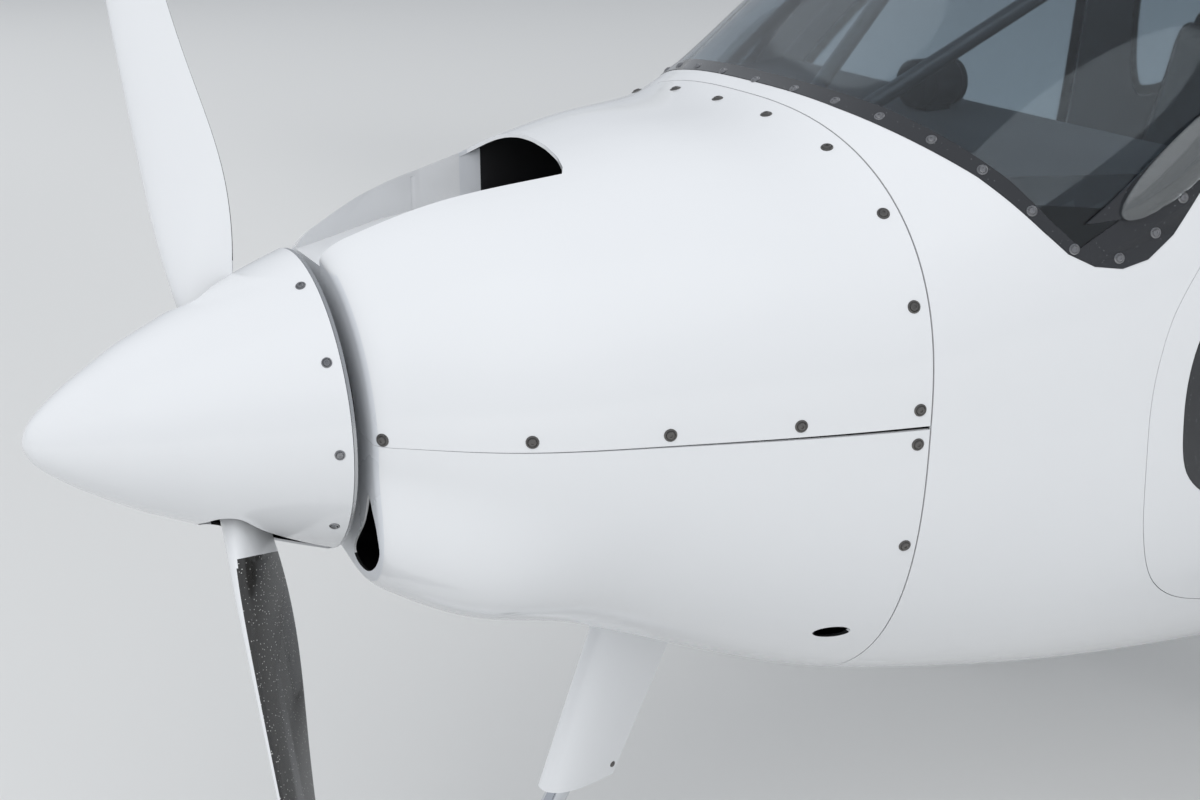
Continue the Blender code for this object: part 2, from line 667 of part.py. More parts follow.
shelf = tool("panel_shelf", side_prism("panel_shelf", ((shelf_front[0], shelf_front[1] + GAP),
                                                       (shelf_rear[0], shelf_rear[1] + GAP),
                                                       (shelf_rear[0], 0.10), (shelf_front[0], 0.10)),
                                       -0.2, 0.2))

# Seats, stick, compass and windscreen frame
SEAT = cabin(((1.50, FLOOR_Z + GAP), (1.50, -0.225), (1.53, -0.205), (1.93, -0.245), (2.13, 0.300),
              (2.19, 0.330), (2.24, 0.290), (2.08, FLOOR_Z + GAP)))
for label, side in sides:
    seat = keep("seat_" + label, side_prism("seat_" + label, SEAT, min(side * 0.03, side * 0.44),
                                            max(side * 0.03, side * 0.44)), FABRIC)
    bevel(seat, 0.02, 3)
    combine(seat, inner_plug, "INTERSECT")
stick_path = [place(station, height) for station, height in cabin(((1.40, FLOOR_Z + GAP), (1.40, -0.20),
                                                                   (1.43, -0.05)))]
stick = keep("control_stick", tube("control_stick", stick_path, 0.014), BLACK)
(drum_station, drum_height), = cabin(((1.178, 0.302),))
compass = turned("compass", ((0, 0), (0.026, 0), (0.0325, 0.008), (0.0325, 0.070), (0.029, 0.080), (0, 0.080)),
                 place(drum_station, drum_height), (0, 1, 0), BLACK, 24)
foot_box = ((-0.018, 0.20), (0.018, 0.20), (0.018, drum_height), (-0.018, drum_height))
combine(compass, tool("compass_foot", long_prism("compass_foot", foot_box, drum_station + 0.020,
                                                 drum_station + 0.060)), "UNION")
combine(compass, shelf, "DIFFERENCE")
(brace_foot, brace_head) = cabin(((1.00, 0.2420), (1.62, 0.680)))
for label, side in sides:
    brace = keep("screen_brace_" + label, tube("screen_brace_" + label,
                                               (place(*brace_foot, side * 0.03),
                                                place(*brace_head, side * 0.30)), 0.011), STEEL)
    combine(brace, shelf, "DIFFERENCE")
    combine(brace, inner_plug, "INTERSECT")

# Flat-four engine on its mounts, against the firewall
engine = keep("engine_block", long_prism("engine_block", ((-0.165, -0.130), (0.165, -0.130), (0.165, 0.115),
                                                          (-0.165, 0.115)), 0.45, 0.81), ALUMINIUM)
for i, (side, station) in enumerate(((1, 0.54), (-1, 0.56), (1, 0.69), (-1, 0.71))):
    bore = tool("engine_cylinder_%d" % i, tube("engine_cylinder_%d" % i,
                                               (place(station, 0.0, side * 0.10),
                                                place(station, 0.0, side * 0.250)), 0.055, 4))
    combine(engine, bore, "UNION")
for i, (across, height) in enumerate(((0.12, 0.08), (-0.12, 0.08), (0.12, -0.09), (-0.12, -0.09))):
    leg = tool("engine_mount_%d" % i, tube("engine_mount_%d" % i, (place(0.75, height, across),
                                                                   place(FIREWALL + 0.0037, height,
                                                                         across)),
                                           0.014, 3))
    combine(engine, leg, "UNION")
nose_case = tool("engine_nose", tube("engine_nose", (place(SPINNER_LENGTH + 0.0093, 0.0), place(0.48, 0.0)),
                                     0.045, 5))
combine(engine, nose_case, "UNION")


# Wing panels
def airfoil(ratio, camber, u):
    """Half thickness and camber height of the section at a chord fraction."""
    half = 5 * ratio * (0.2969 * math.sqrt(u) - 0.1260 * u - 0.3516 * u * u + 0.2843 * u ** 3
                        - 0.1015 * u ** 4)
    peak = 0.4
    bow = camber * (2 * peak * u - u * u) / peak ** 2 if u < peak else (
        camber * (1 - 2 * peak + 2 * peak * u - u * u) / (1 - peak) ** 2)
    return half, bow


def wing_row(across):
    """Leading edge, trailing edge, ratio and height at a span station."""
    lead, trail, ratio = (hermite(WING, c, across) for c in range(1, 4))
    return lead, trail, ratio, WING_ROOT_Z + DIHEDRAL * across


CHORDWISE = [0.0, 0.012, 0.05, 0.12, 0.25, 0.42, 0.62, 0.80, 1.0]


def wing_ring(across, side, low=0.0, high=1.0, skin=0.0):
    """Closed section of the wing at a span station."""
    lead, trail, ratio, height = wing_row(across)
    chord = trail - lead
    values = [low + (high - low) * u for u in CHORDWISE]
    ring = []
    for sign, order in ((1, reversed(values)), (-1, values[1:])):
        for u in order:
            half, bow = airfoil(ratio, WING_CAMBER, u)
            thick = max(half * chord - skin, 0.0012)
            if u == low:
                thick = 0.0 if low == 0.0 else thick
            ring.append(place(lead + u * chord, height + bow * chord + sign * thick, side * across))
    return ring


def cavity_ring(across, side):
    """Hollow of the wing ahead of the rear spar."""
    lead, trail, ratio, height = wing_row(across)
    chord = trail - lead
    web = (hinge_station(across) - COVE - 0.014 - lead) / chord
    top, bottom = [], []
    for u in (0.05, 0.12, 0.25, 0.42, 0.62, web):
        half, bow = airfoil(ratio, WING_CAMBER, u)
        top.append(place(lead + u * chord, height + bow * chord + half * chord - WING_SKIN, side * across))
        bottom.append(place(lead + u * chord, height + bow * chord - half * chord + WING_SKIN, side * across))
    return list(reversed(top)) + bottom


def hinge_station(across):
    """Station of the flaperon's hinge, on a straight line."""
    return WING[0][2] - FLAPERON_CHORD + 0.028 - 0.01075 * (across - WING[0][0])


def flaperon_ring(across, side, skin=0.0):
    """Section of the flaperon: round nose on the hinge, then the wing's own tail; inset, its hollow."""
    lead, trail, ratio, height = wing_row(across)
    chord = trail - lead
    hinge = hinge_station(across)
    u0 = (hinge - lead) / chord
    half, bow = airfoil(ratio, WING_CAMBER, u0)
    centre = height + bow * chord
    radius = half * chord - skin * 1.15
    ring = []
    cuts = ((1 + u0) / 2, u0) if skin else (1.0, (1 + u0) / 2, u0)
    for u in cuts:
        thick, rise = airfoil(ratio, WING_CAMBER, u)
        ring.append(place(lead + u * chord, height + rise * chord + max(thick * chord - skin, 0.0012),
                          side * across))
    for angle in (45.0, 0.0, -45.0):
        turn = math.radians(angle)
        ring.append(place(hinge - radius * math.cos(turn), centre + radius * math.sin(turn), side * across))
    for u in reversed(cuts):
        thick, rise = airfoil(ratio, WING_CAMBER, u)
        ring.append(place(lead + u * chord, height + rise * chord - max(thick * chord - skin, 0.0012),
                          side * across))
    return ring


def lug_outline(hinge, level, length, half):
    """Hinge lug in side view: a tapered plate with a round end on the hinge."""
    outline = [(hinge - length, level - half), (hinge - 0.034, level - half)]
    for angle in (-70, -35, 0, 35, 70):
        turn = math.radians(angle)
        outline.append((hinge + 0.010 * math.cos(turn), level + 0.010 * math.sin(turn)))
    return outline + [(hinge - 0.034, level + half), (hinge - length, level + half)]


def slot_outline(hinge, level):
    """Room for a lug in the surface's nose."""
    return ((hinge - 0.06, level - 0.08), (hinge + 0.016, level - 0.08), (hinge + 0.016, level + 0.08),
            (hinge - 0.06, level + 0.08))


wing_span = [row[0] for row in WING]
for label, side in sides:
    wing = keep("wing_" + label, loft("wing_" + label, [wing_ring(x, side) for x in wing_span]), WHITE)
    combine(wing, outer_plug, "DIFFERENCE")
    front = [(side * x, hinge_station(x) - COVE) for x in (FLAPERON_IN - 0.006, 2.0, 3.6,
                                                            FLAPERON_OUT + 0.006)]
    back = [(side * (FLAPERON_OUT + 0.006), 2.8), (side * (FLAPERON_IN - 0.006), 2.8)]
    cove = tool("flaperon_cove_" + label, plan_prism("flaperon_cove_" + label, front + back, 0.2, 1.2))
    combine(wing, cove, "DIFFERENCE")
    hollow = tool("wing_hollow_" + label,
                  loft("wing_hollow_" + label, [cavity_ring(x, side) for x in [0.301] + wing_span[1:-2]]))
    combine(wing, hollow, "DIFFERENCE")
    flaperon_span = (FLAPERON_IN, 2.0, 3.6, FLAPERON_OUT)
    flaperon = keep("flaperon_" + label,
                    loft("flaperon_" + label, [flaperon_ring(x, side) for x in flaperon_span]), WHITE)
    inner_span = (FLAPERON_IN + 0.004, 2.0, 3.6, FLAPERON_OUT - 0.004)
    name = "flaperon_hollow_" + label
    combine(flaperon, tool(name, loft(name, [flaperon_ring(x, side, WING_SKIN) for x in inner_span])),
            "DIFFERENCE")

    # Tie-down lug below the wing, with its rope hole
    lead, trail, ratio, height = wing_row(TIE_X)
    part = (TIE_STATION - lead) / (trail - lead)
    half, bow = airfoil(ratio, WING_CAMBER, part)
    below = height + (bow - half) * (trail - lead)
    outline = ((TIE_STATION - 0.040, below + 0.003), (TIE_STATION - 0.020, below - TIE_DROP),
               (TIE_STATION + 0.020, below - TIE_DROP), (TIE_STATION + 0.040, below + 0.003))
    name = "tie_lug_" + label
    combine(wing, tool(name, side_prism(name, outline, side * TIE_X - 0.005, side * TIE_X + 0.005)), "UNION")
    name = "tie_hole_" + label
    eye = place(TIE_STATION, below - 0.026, side * TIE_X)
    combine(wing, tool(name, tube(name, (eye - Vector((0.02, 0, 0)), eye + Vector((0.02, 0, 0))), 0.006, 3)),
            "DIFFERENCE")

    # Hinge lugs of the wing in slots of the flaperon
    for i, x in enumerate(FLAPERON_LUGS):
        lead, trail, ratio, height = wing_row(x)
        hinge = hinge_station(x)
        level = height + airfoil(ratio, WING_CAMBER, (hinge - lead) / (trail - lead))[1] * (trail - lead)
        name = "flaperon_lug_%s_%d" % (label, i)
        centre = side * x
        combine(wing, tool(name, side_prism(name, lug_outline(hinge, level, 0.085, 0.016),
                                            centre - LUG / 2, centre + LUG / 2)), "UNION")
        name = "flaperon_slot_%s_%d" % (label, i)
        combine(flaperon, tool(name, side_prism(name, slot_outline(hinge, level),
                                                centre - LUG / 2 - GAP, centre + LUG / 2 + GAP)),
                "DIFFERENCE")


# Tailplane and elevator
def tail_row(across):
    """Leading and trailing edge of the tailplane."""
    size = abs(across)
    return hermite(TAILPLANE, 1, size), hermite(TAILPLANE, 2, size)


def tail_ring(across, outset=0.0, rear=None):
    """Tailplane section ahead of the elevator's cove."""
    lead, trail = tail_row(across)
    chord = trail - lead
    end = (rear - lead) / chord
    ring = []
    for sign, order in ((1, (1.0, 0.7, 0.4, 0.15, 0.04, 0.0)), (-1, (0.04, 0.15, 0.4, 0.7, 1.0))):
        for part in order:
            u = part * end
            half, _ = airfoil(TAIL_RATIO, 0.0, u)
            ring.append(place(lead + u * chord, TAIL_Z + sign * (half * chord + outset), across))
    return ring


def elevator_ring(across, skin=0.0):
    """Elevator section with a round nose on the hinge; inset, its hollow."""
    lead, trail = tail_row(across)
    chord = trail - lead
    u0 = (ELEVATOR_HINGE - lead) / chord
    radius = airfoil(TAIL_RATIO, 0.0, u0)[0] * chord - skin * 1.15
    middle, edge = (ELEVATOR_HINGE + trail) / 2, 0.0012
    half = airfoil(TAIL_RATIO, 0.0, (1 + u0) / 2)[0] * chord - skin
    ring = [place(middle, TAIL_Z + half, across)]
    for angle in (90.0, 45.0, 0.0, -45.0, -90.0):
        turn = math.radians(angle)
        ring.append(place(ELEVATOR_HINGE - radius * math.cos(turn), TAIL_Z + radius * math.sin(turn), across))
    ring.append(place(middle, TAIL_Z - half, across))
    if skin:
        return ring
    return [place(trail, TAIL_Z + edge, across)] + ring + [place(trail, TAIL_Z - edge, across)]


tail_span = (-1.09, -1.0, -0.55, 0.0, 0.55, 1.0, 1.09)
TAIL_REAR = ELEVATOR_HINGE - 0.028
tailplane = keep("tailplane", loft("tailplane", [tail_ring(x, rear=TAIL_REAR) for x in tail_span]), WHITE)
tail_hollow = []
for x in (-1.0, -0.55, 0.0, 0.55, 1.0):
    lead, trail = tail_row(x)
    chord, length = trail - lead, TAIL_REAR - lead
    halves = {part: airfoil(TAIL_RATIO, 0.0, part * length / chord)[0] * chord for part in (0.04, 0.15, 0.4,
                                                                                       0.7, 1.0)}
    halves[0.09] = (halves[0.04] * 6 + halves[0.15] * 5) / 11 - 0.001
    halves[1.10] = halves[1.0]
    ring = []
    for sign, order in ((1, (1.10, 0.7, 0.4, 0.15, 0.09)), (-1, (0.09, 0.15, 0.4, 0.7, 1.10))):
        for part in order:
            ring.append(place(lead + part * length, TAIL_Z + sign * (halves[part] - TAIL_SKIN), x))
    tail_hollow.append(ring)
combine(tailplane, tool("tailplane_hollow", loft("tailplane_hollow", tail_hollow)), "DIFFERENCE")
elevator = keep("elevator", loft("elevator", [elevator_ring(x) for x in (-1.05, -0.55, 0.0, 0.55, 1.05)]),
                WHITE)
combine(elevator, tool("elevator_hollow", loft("elevator_hollow", [elevator_ring(x, TAIL_SKIN) for x in
                                                                   (-1.046, -0.55, 0.0, 0.55, 1.046)])),
        "DIFFERENCE")
for i, x in enumerate(ELEVATOR_LUGS):
    lead, trail = tail_row(x)
    half = airfoil(TAIL_RATIO, 0.0, (TAIL_REAR - lead) / (trail - lead))[0] * (trail - lead) - 0.0002
    combine(tailplane, tool("elevator_lug_%d" % i,
                            side_prism("elevator_lug_%d" % i, lug_outline(ELEVATOR_HINGE, TAIL_Z, 0.09, half),
                                       x - LUG / 2, x + LUG / 2)), "UNION")
    combine(elevator, tool("elevator_slot_%d" % i,
                           side_prism("elevator_slot_%d" % i, slot_outline(ELEVATOR_HINGE, TAIL_Z),
                                      x - LUG / 2 - GAP, x + LUG / 2 + GAP)), "DIFFERENCE")
tail_saddle = tool("tailplane_seat", loft("tailplane_seat", [tail_ring(x, GAP, TAIL_REAR + 0.01)
                                                             for x in (-0.55, 0.0, 0.55)]))


# Fin and rudder
def fin_half(height, station):
    """Half thickness of the fin and rudder."""
    lead = hermite(FIN, 1, height)
    chord = FIN_FULL - lead
    u = min(max((station - lead) / chord, 0.0), 1.0)
    return airfoil(0.085 - 0.02 * max(height, 0.0), 0.0, u)[0] * chord


def fin_ring(height, skin=0.0):
    """Fin section ahead of the rudder's cove."""
    lead = hermite(FIN, 1, height)
    length = FIN_REAR - lead
    low = 0.0 if skin == 0.0 else 0.06
    ring = []
    steps = (1.0, 0.7, 0.4, 0.15, 0.04, 0.0) if skin == 0.0 else (0.9, 0.6, 0.3, 0.08)
    back = steps[-2::-1] if skin == 0.0 else steps[::-1]
    for sign, order in ((1, steps), (-1, back)):
        for part in order:
            station = lead + part * length
            ring.append(place(station, height, sign * (fin_half(height, station) - skin)))
    return ring


def rudder_ring(height, skin=0.0):
    """Rudder section with a round nose on the hinge; inset, its hollow."""
    trail = hermite(RUDDER, 1, height)
    radius = 0.9 * fin_half(max(height, 0.1), RUDDER_HINGE)
    middle, half = (RUDDER_HINGE + trail) / 2, radius * 0.60 - skin
    radius -= skin * 1.15
    ring = [place(middle, height, half)]
    for angle in (90.0, 45.0, 0.0, -45.0, -90.0):
        turn = math.radians(angle)
        ring.append(place(RUDDER_HINGE - radius * math.cos(turn), height, radius * math.sin(turn)))
    ring.append(place(middle, height, -half))
    if skin:
        return ring
    return [place(trail, height, 0.0012)] + ring + [place(trail, height, -0.0012)]


fin = keep("fin", loft("fin", [fin_ring(z) for z in (0.10, 0.34, 0.62, 0.915)]), WHITE)
combine(fin, outer_plug, "DIFFERENCE")
combine(fin, tail_saddle, "DIFFERENCE")
fin_hollow = tool("fin_hollow", loft("fin_hollow", [fin_ring(z, TAIL_SKIN + 0.001)
                                                    for z in (0.101, 0.34, 0.62, 0.86)]))
combine(fin, fin_hollow, "DIFFERENCE")
rudder = keep("rudder", loft("rudder", [rudder_ring(z) for z in (-0.105, 0.20, 0.50, 0.80)]), WHITE)
combine(rudder, tool("rudder_hollow", loft("rudder_hollow", [rudder_ring(z, TAIL_SKIN)
                                                             for z in (-0.101, 0.20, 0.50, 0.796)])),
        "DIFFERENCE")
for i, z in enumerate(RUDDER_LUGS[1:]):
    outline = [(across, station) for station, across in lug_outline(RUDDER_HINGE, 0.0, 0.070, 0.010)]
    combine(fin, tool("rudder_lug_%d" % i, plan_prism("rudder_lug_%d" % i, outline, z - LUG / 2,
                                                      z + LUG / 2)), "UNION")
    outline = [(across, station) for station, across in slot_outline(RUDDER_HINGE, 0.0)]
    combine(rudder, tool("rudder_slot_%d" % i, plan_prism("rudder_slot_%d" % i, outline,
                                                          z - LUG / 2 - GAP, z + LUG / 2 + GAP)),
            "DIFFERENCE")
VENTRAL = [(aft(station), height) for station, height in (
    (5.42, -0.10), (5.98, -0.08), (6.02, -0.300), (5.94, -0.320), (5.80, -0.320), (5.62, -0.22))]
ventral = keep("ventral_fin", side_prism("ventral_fin", VENTRAL, -0.012, 0.012), WHITE)
combine(ventral, outer_plug, "DIFFERENCE")

# Spinner, backplate, hub and two blades
spinner_profile = [(wide * SPINNER_RADIUS, along * SPINNER_LENGTH) for along, wide in SPINNER]
inside = [(radius - 0.003, along + 0.002 * (SPINNER_LENGTH - along) / SPINNER_LENGTH)
          for radius, along in reversed(spinner_profile[3::2])] + [(0.0, 0.010)]
spinner = turned("spinner", spinner_profile + inside, place(0.0, 0.0), (0, 1, 0), WHITE, 32)
HUB_END = SPINNER_LENGTH + 0.009
turned("spinner_backplate", ((HUB_RADIUS + GAP, SPINNER_LENGTH + GAP), (SPINNER_RADIUS, SPINNER_LENGTH + GAP),
                             (SPINNER_RADIUS, SPINNER_LENGTH + 0.005),
                             (HUB_RADIUS + GAP, SPINNER_LENGTH + 0.005)), place(0.0, 0.0), (0, 1, 0),
       ALUMINIUM, 36)
turned("prop_hub", ((0.0, PROP_STATION - 0.055), (HUB_RADIUS, PROP_STATION - 0.055), (HUB_RADIUS, HUB_END),
                    (0.0, HUB_END)), place(0.0, 0.0), (0, 1, 0), ALUMINIUM, 24)
BLADE_OUTLINE = ((0.50, 0.0), (0.25, 0.62), (0.0, 0.95), (-0.28, 0.86), (-0.46, 0.40), (-0.50, 0.0),
                 (-0.46, -0.30), (-0.28, -0.55), (0.0, -0.55), (0.25, -0.30))


def blade_rings(turn):
    """Blade sections from root to tip."""
    rings = []
    for share, chord, thick, pitch, shift in BLADE:
        radius = HUB_RADIUS + GAP + share * (PROP_RADIUS - HUB_RADIUS - GAP)
        lean = math.radians(pitch)
        ring = []
        for u, v in BLADE_OUTLINE:
            if radius < 0.08:
                size = math.hypot(u, v * 0.5) or 1.0
                u, v = 0.5 * u / size, 0.5 * (v * 0.5) / size
                across, along = u * chord, v * thick
            else:
                across, along = u * chord, v * thick * 0.62
            across += shift
            tangent = across * math.cos(lean) + along * math.sin(lean)
            fore = across * math.sin(lean) - along * math.cos(lean)
            x, z = tangent * math.cos(turn) + radius * math.sin(turn), (
                radius * math.cos(turn) - tangent * math.sin(turn))
            ring.append(place(PROP_STATION + fore, z, x))
        rings.append(ring)
    return rings


for label, turn in (("upper", BLADE_LEAN), ("lower", BLADE_LEAN + math.pi)):
    keep("blade_" + label, loft("blade_" + label, blade_rings(turn)), WHITE)
    reach = [Vector((math.sin(turn) * r, NOSE_Y + PROP_STATION, AXIS_Z + math.cos(turn) * r))
             for r in (0.08, 0.26)]
    gate = tool("blade_gate_" + label, tube("blade_gate_" + label, reach, 0.046, 4))
    combine(spinner, gate, "DIFFERENCE")


# Wheels, tyres and wheel pants
def tyre_and_rim(name, centre, radius, width):
    """Tyre and wheel rim turning across the aircraft."""
    bead, half = radius * 0.55, width / 2
    turned(name + "_tyre", ((bead, -half * 0.72), (bead + 0.012, -half * 0.86),
                            (radius * 0.78, -half), (radius * 0.92, -half * 0.84),
                            (radius, -half * 0.40), (radius, half * 0.40), (radius * 0.92, half * 0.84),
                            (radius * 0.78, half), (bead + 0.012, half * 0.86), (bead, half * 0.72)),
           centre, (1, 0, 0), RUBBER, 40)
    rim = bead - GAP
    turned(name + "_rim", ((0.0103, -half * 0.60), (0.030, -half * 0.60), (0.034, -half * 0.30),
                           (rim - 0.012, -half * 0.30), (rim - 0.006, -half * 0.72), (rim, -half * 0.72),
                           (rim, half * 0.72), (rim - 0.006, half * 0.72), (rim - 0.012, half * 0.30),
                           (0.034, half * 0.30), (0.030, half * 0.60), (0.0103, half * 0.60)),
           centre, (1, 0, 0), ALUMINIUM, 24)


def pant(name, axle, ground_radius, length, width, height):
    """Streamlined wheel pant, hollow and open below the tyre."""
    table = ((-0.42, 0.02, 0.02), (-0.40, 0.30, 0.32), (-0.33, 0.66, 0.68), (-0.20, 0.93, 0.93),
             (-0.02, 1.0, 1.0), (0.16, 0.88, 0.90), (0.34, 0.58, 0.62), (0.50, 0.24, 0.30),
             (0.58, 0.03, 0.06))
    middle = axle.z + 0.012

    def rings(shrink, skip=0):
        made = []
        for along, wide, tall in table[skip:len(table) - skip]:
            ring = []
            for i in range(16):
                angle = 2 * math.pi * i / 16
                sine, cosine = math.sin(angle), math.cos(angle)
                x = (width / 2 * wide - shrink) * math.copysign(abs(sine) ** 0.85, sine)
                z = (height / 2 * tall - shrink) * math.copysign(abs(cosine) ** 0.85, cosine)
                ring.append(Vector((axle.x + x, axle.y + along * length, middle + z)))
            made.append(ring)
        return made

    shape = keep(name, loft(name, rings(0.0)), WHITE)
    combine(shape, tool(name + "_hollow", loft(name + "_hollow", rings(0.0035, 1))), "DIFFERENCE")
    work = ground_radius + 0.022
    box = flat(name + "_mouth", ((axle.x - 0.072, axle.y - work), (axle.x + 0.072, axle.y - work),
                                 (axle.x + 0.072, axle.y + work), (axle.x - 0.072, axle.y + work)),
               0.12, Matrix.Translation((0, 0, 0.05)))
    combine(shape, tool(name + "_mouth", box), "DIFFERENCE")
    return shape


nose_centre = Vector((0.0, NOSE_Y + NOSE_AXLE, NOSE_TYRE[0]))
tyre_and_rim("nose", nose_centre, *NOSE_TYRE)
nose_cover = pant("nose_pant", nose_centre, NOSE_TYRE[0], 0.64, 0.205, 0.300)
for label, side in sides:
    centre = Vector((side * TRACK / 2, NOSE_Y + MAIN_AXLE, MAIN_TYRE[0]))
    tyre_and_rim("main_" + label, centre, *MAIN_TYRE)
    cover = pant("main_pant_" + label, centre, MAIN_TYRE[0], 0.72, 0.215, 0.335)
    axle = keep("main_axle_" + label, tube("main_axle_" + label,
                                           (centre - Vector((side * 0.152, 0, 0)),
                                            centre + Vector((side * 0.085, 0, 0))), 0.010, 4), CHROME)
    passage = tool("axle_passage_" + label, tube("axle_passage_" + label,
                                                 (centre - Vector((side * 0.20, 0, 0)), centre),
                                                 0.0103, 4))
    combine(cover, passage, "DIFFERENCE")

    # Composite leg from the belly out to the axle
    reach = TRACK / 2 - 0.136 - LEG_IN
    axle_height = MAIN_TYRE[0] - AXIS_Z
    path = [(LEG_IN + share * reach, axle_height + height, chord, thick)
            for share, height, chord, thick in LEG]
    rings = []
    for i, (x, z, chord, thick) in enumerate(path):
        before, after = path[max(i - 1, 0)], path[min(i + 1, len(path) - 1)]
        run = Vector((after[0] - before[0], after[1] - before[1])).normalized()
        normal = Vector((-run.y, run.x))
        ring = []
        for u, v in ((-0.5, 0.0), (-0.42, 0.36), (-0.15, 0.5), (0.2, 0.40), (0.5, 0.0), (0.2, -0.40),
                     (-0.15, -0.5), (-0.42, -0.36)):
            shift = normal * (v * thick)
            ring.append(place(MAIN_AXLE - 0.02 + u * chord, z + shift.y, side * (x + shift.x)))
        rings.append(ring)
    leg = keep("main_leg_" + label, loft("main_leg_" + label, rings), WHITE)
    combine(leg, outer_plug, "DIFFERENCE")
    leg_hole = tool("leg_hole_" + label, tube("leg_hole_" + label,
                                              (centre - Vector((side * 0.20, 0, 0)), centre),
                                              0.0103, 4))
    combine(leg, leg_hole, "DIFFERENCE")

# Nose leg: fixed fairing, then steered strut and fork
def fairing(name, grow):
    """Raked streamlined leg from inside the cowling down to the strut."""
    rings = []
    for station, height, chord, thick in ((*LEG_ROOT, 0.130, 0.046), (*LEG_TIP, 0.115, 0.044)):
        ring = []
        for u, v in ((-0.5, 0.0), (-0.46, 0.30), (-0.30, 0.5), (-0.05, 0.46), (0.25, 0.24), (0.5, 0.02),
                     (0.5, -0.02), (0.25, -0.24), (-0.05, -0.46), (-0.30, -0.5), (-0.46, -0.30)):
            along = math.copysign(abs(u) * chord + grow * 1.6, u)
            across = math.copysign(abs(v) * thick + grow * 1.3, v) if v else 0.0
            ring.append(place(station + along, height - 0.10 * along, across))
        rings.append(ring)
    return loft(name, rings)


nose_leg = keep("nose_leg_fairing", fairing("nose_leg_fairing", 0.0), WHITE)
combine(cowl_lower, tool("leg_slot", fairing("leg_slot", GAP)), "DIFFERENCE")
stem = tool("nose_leg_stem", tube("nose_leg_stem", (place(LEG_ROOT[0] - 0.014, LEG_ROOT[1] - 0.035),
                                                    place(LEG_ROOT[0] + 0.021, LEG_ROOT[1] + 0.055),
                                                    place(FIREWALL + 0.0037, LEG_ROOT[1] + 0.055)),
                                  0.016, 4))
combine(nose_leg, stem, "UNION")
strut_axis = Vector((0.0, -math.sin(RAKE), -math.cos(RAKE)))
foot = place(*STRUT_FOOT)
bore = tool("strut_bore", tube("strut_bore", (foot - strut_axis * 0.09, foot + strut_axis * 0.1),
                               STRUT_RADIUS + 0.0005, 10))
combine(nose_leg, bore, "DIFFERENCE")
strut = keep("nose_strut", tube("nose_strut", (foot - strut_axis * 0.08, foot + strut_axis * 0.075),
                                STRUT_RADIUS, 10), CHROME)
crown = foot + strut_axis * 0.0753
fork = keep("nose_fork", tube("nose_fork", (nose_centre - Vector((0.074, 0, 0)),
                                            nose_centre + Vector((0.074, 0, 0))), 0.010, 4), STEEL)
yoke = ((crown, crown + strut_axis * 0.030), 0.024)
arms = [((nose_centre + Vector((side * 0.060, 0, 0)), nose_centre + Vector((side * 0.060, 0.034, 0.110)),
          crown + Vector((side * 0.030, 0, -0.026)), crown + Vector((0, 0, -0.022))), 0.009)
        for side in (1, -1)]
for i, (path, radius) in enumerate([yoke] + arms):
    combine(fork, tool("fork_piece_%d" % i, tube("fork_piece_%d" % i, path, radius, 3)), "UNION")
    path = [path[0] - strut_axis * 0.02] + list(path[1:]) if i == 0 else path
    combine(nose_cover, tool("fork_way_%d" % i, tube("fork_way_%d" % i, path, radius + GAP, 3)),
            "DIFFERENCE")
combine(nose_cover, tool("axle_way", tube("axle_way", (nose_centre - Vector((0.0743, 0, 0)),
                                                       nose_centre + Vector((0.0743, 0, 0))),
                                          0.0103, 4)), "DIFFERENCE")
print("built", len(AIRCRAFT.objects), "parts")
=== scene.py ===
"""Looks of a parked two-seat high-wing ultralight aircraft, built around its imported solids."""

import logging
import math
from dataclasses import dataclass
from enum import Enum
from typing import Callable, Sequence

import bmesh
import bpy
import numpy as np
from mathutils import Matrix, Vector

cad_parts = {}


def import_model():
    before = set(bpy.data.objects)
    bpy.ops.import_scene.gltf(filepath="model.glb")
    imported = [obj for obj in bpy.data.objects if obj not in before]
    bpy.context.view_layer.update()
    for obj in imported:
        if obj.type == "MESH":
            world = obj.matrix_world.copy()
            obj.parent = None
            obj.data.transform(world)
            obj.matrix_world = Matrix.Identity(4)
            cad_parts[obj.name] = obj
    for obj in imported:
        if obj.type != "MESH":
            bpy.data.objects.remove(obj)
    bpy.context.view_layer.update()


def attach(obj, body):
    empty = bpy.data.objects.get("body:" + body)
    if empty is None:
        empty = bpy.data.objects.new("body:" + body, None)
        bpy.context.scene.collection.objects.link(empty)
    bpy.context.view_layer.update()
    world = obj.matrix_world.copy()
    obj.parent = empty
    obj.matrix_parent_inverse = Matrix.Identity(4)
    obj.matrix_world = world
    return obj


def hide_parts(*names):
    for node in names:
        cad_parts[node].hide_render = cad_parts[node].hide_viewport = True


LOG = logging.getLogger("ultralight")

Point = tuple[float, float, float]
Outline = Sequence[tuple[float, float]]

NOSE_Y = -3.25
AXIS_Z = 1.03
FIREWALL = 0.908
SEAM = 0.0009


class Side(Enum):
    """Port or starboard, as the sign of X."""

    LEFT = 1
    RIGHT = -1

    @property
    def label(self) -> str:
        """Name used in the nodes."""
        return self.name.lower()


def place(station: float, height: float, across: float = 0.0) -> Vector:
    """World point from a station aft of the spinner's tip and a height over the propeller axis."""
    return Vector((across, NOSE_Y + station, AXIS_Z + height))


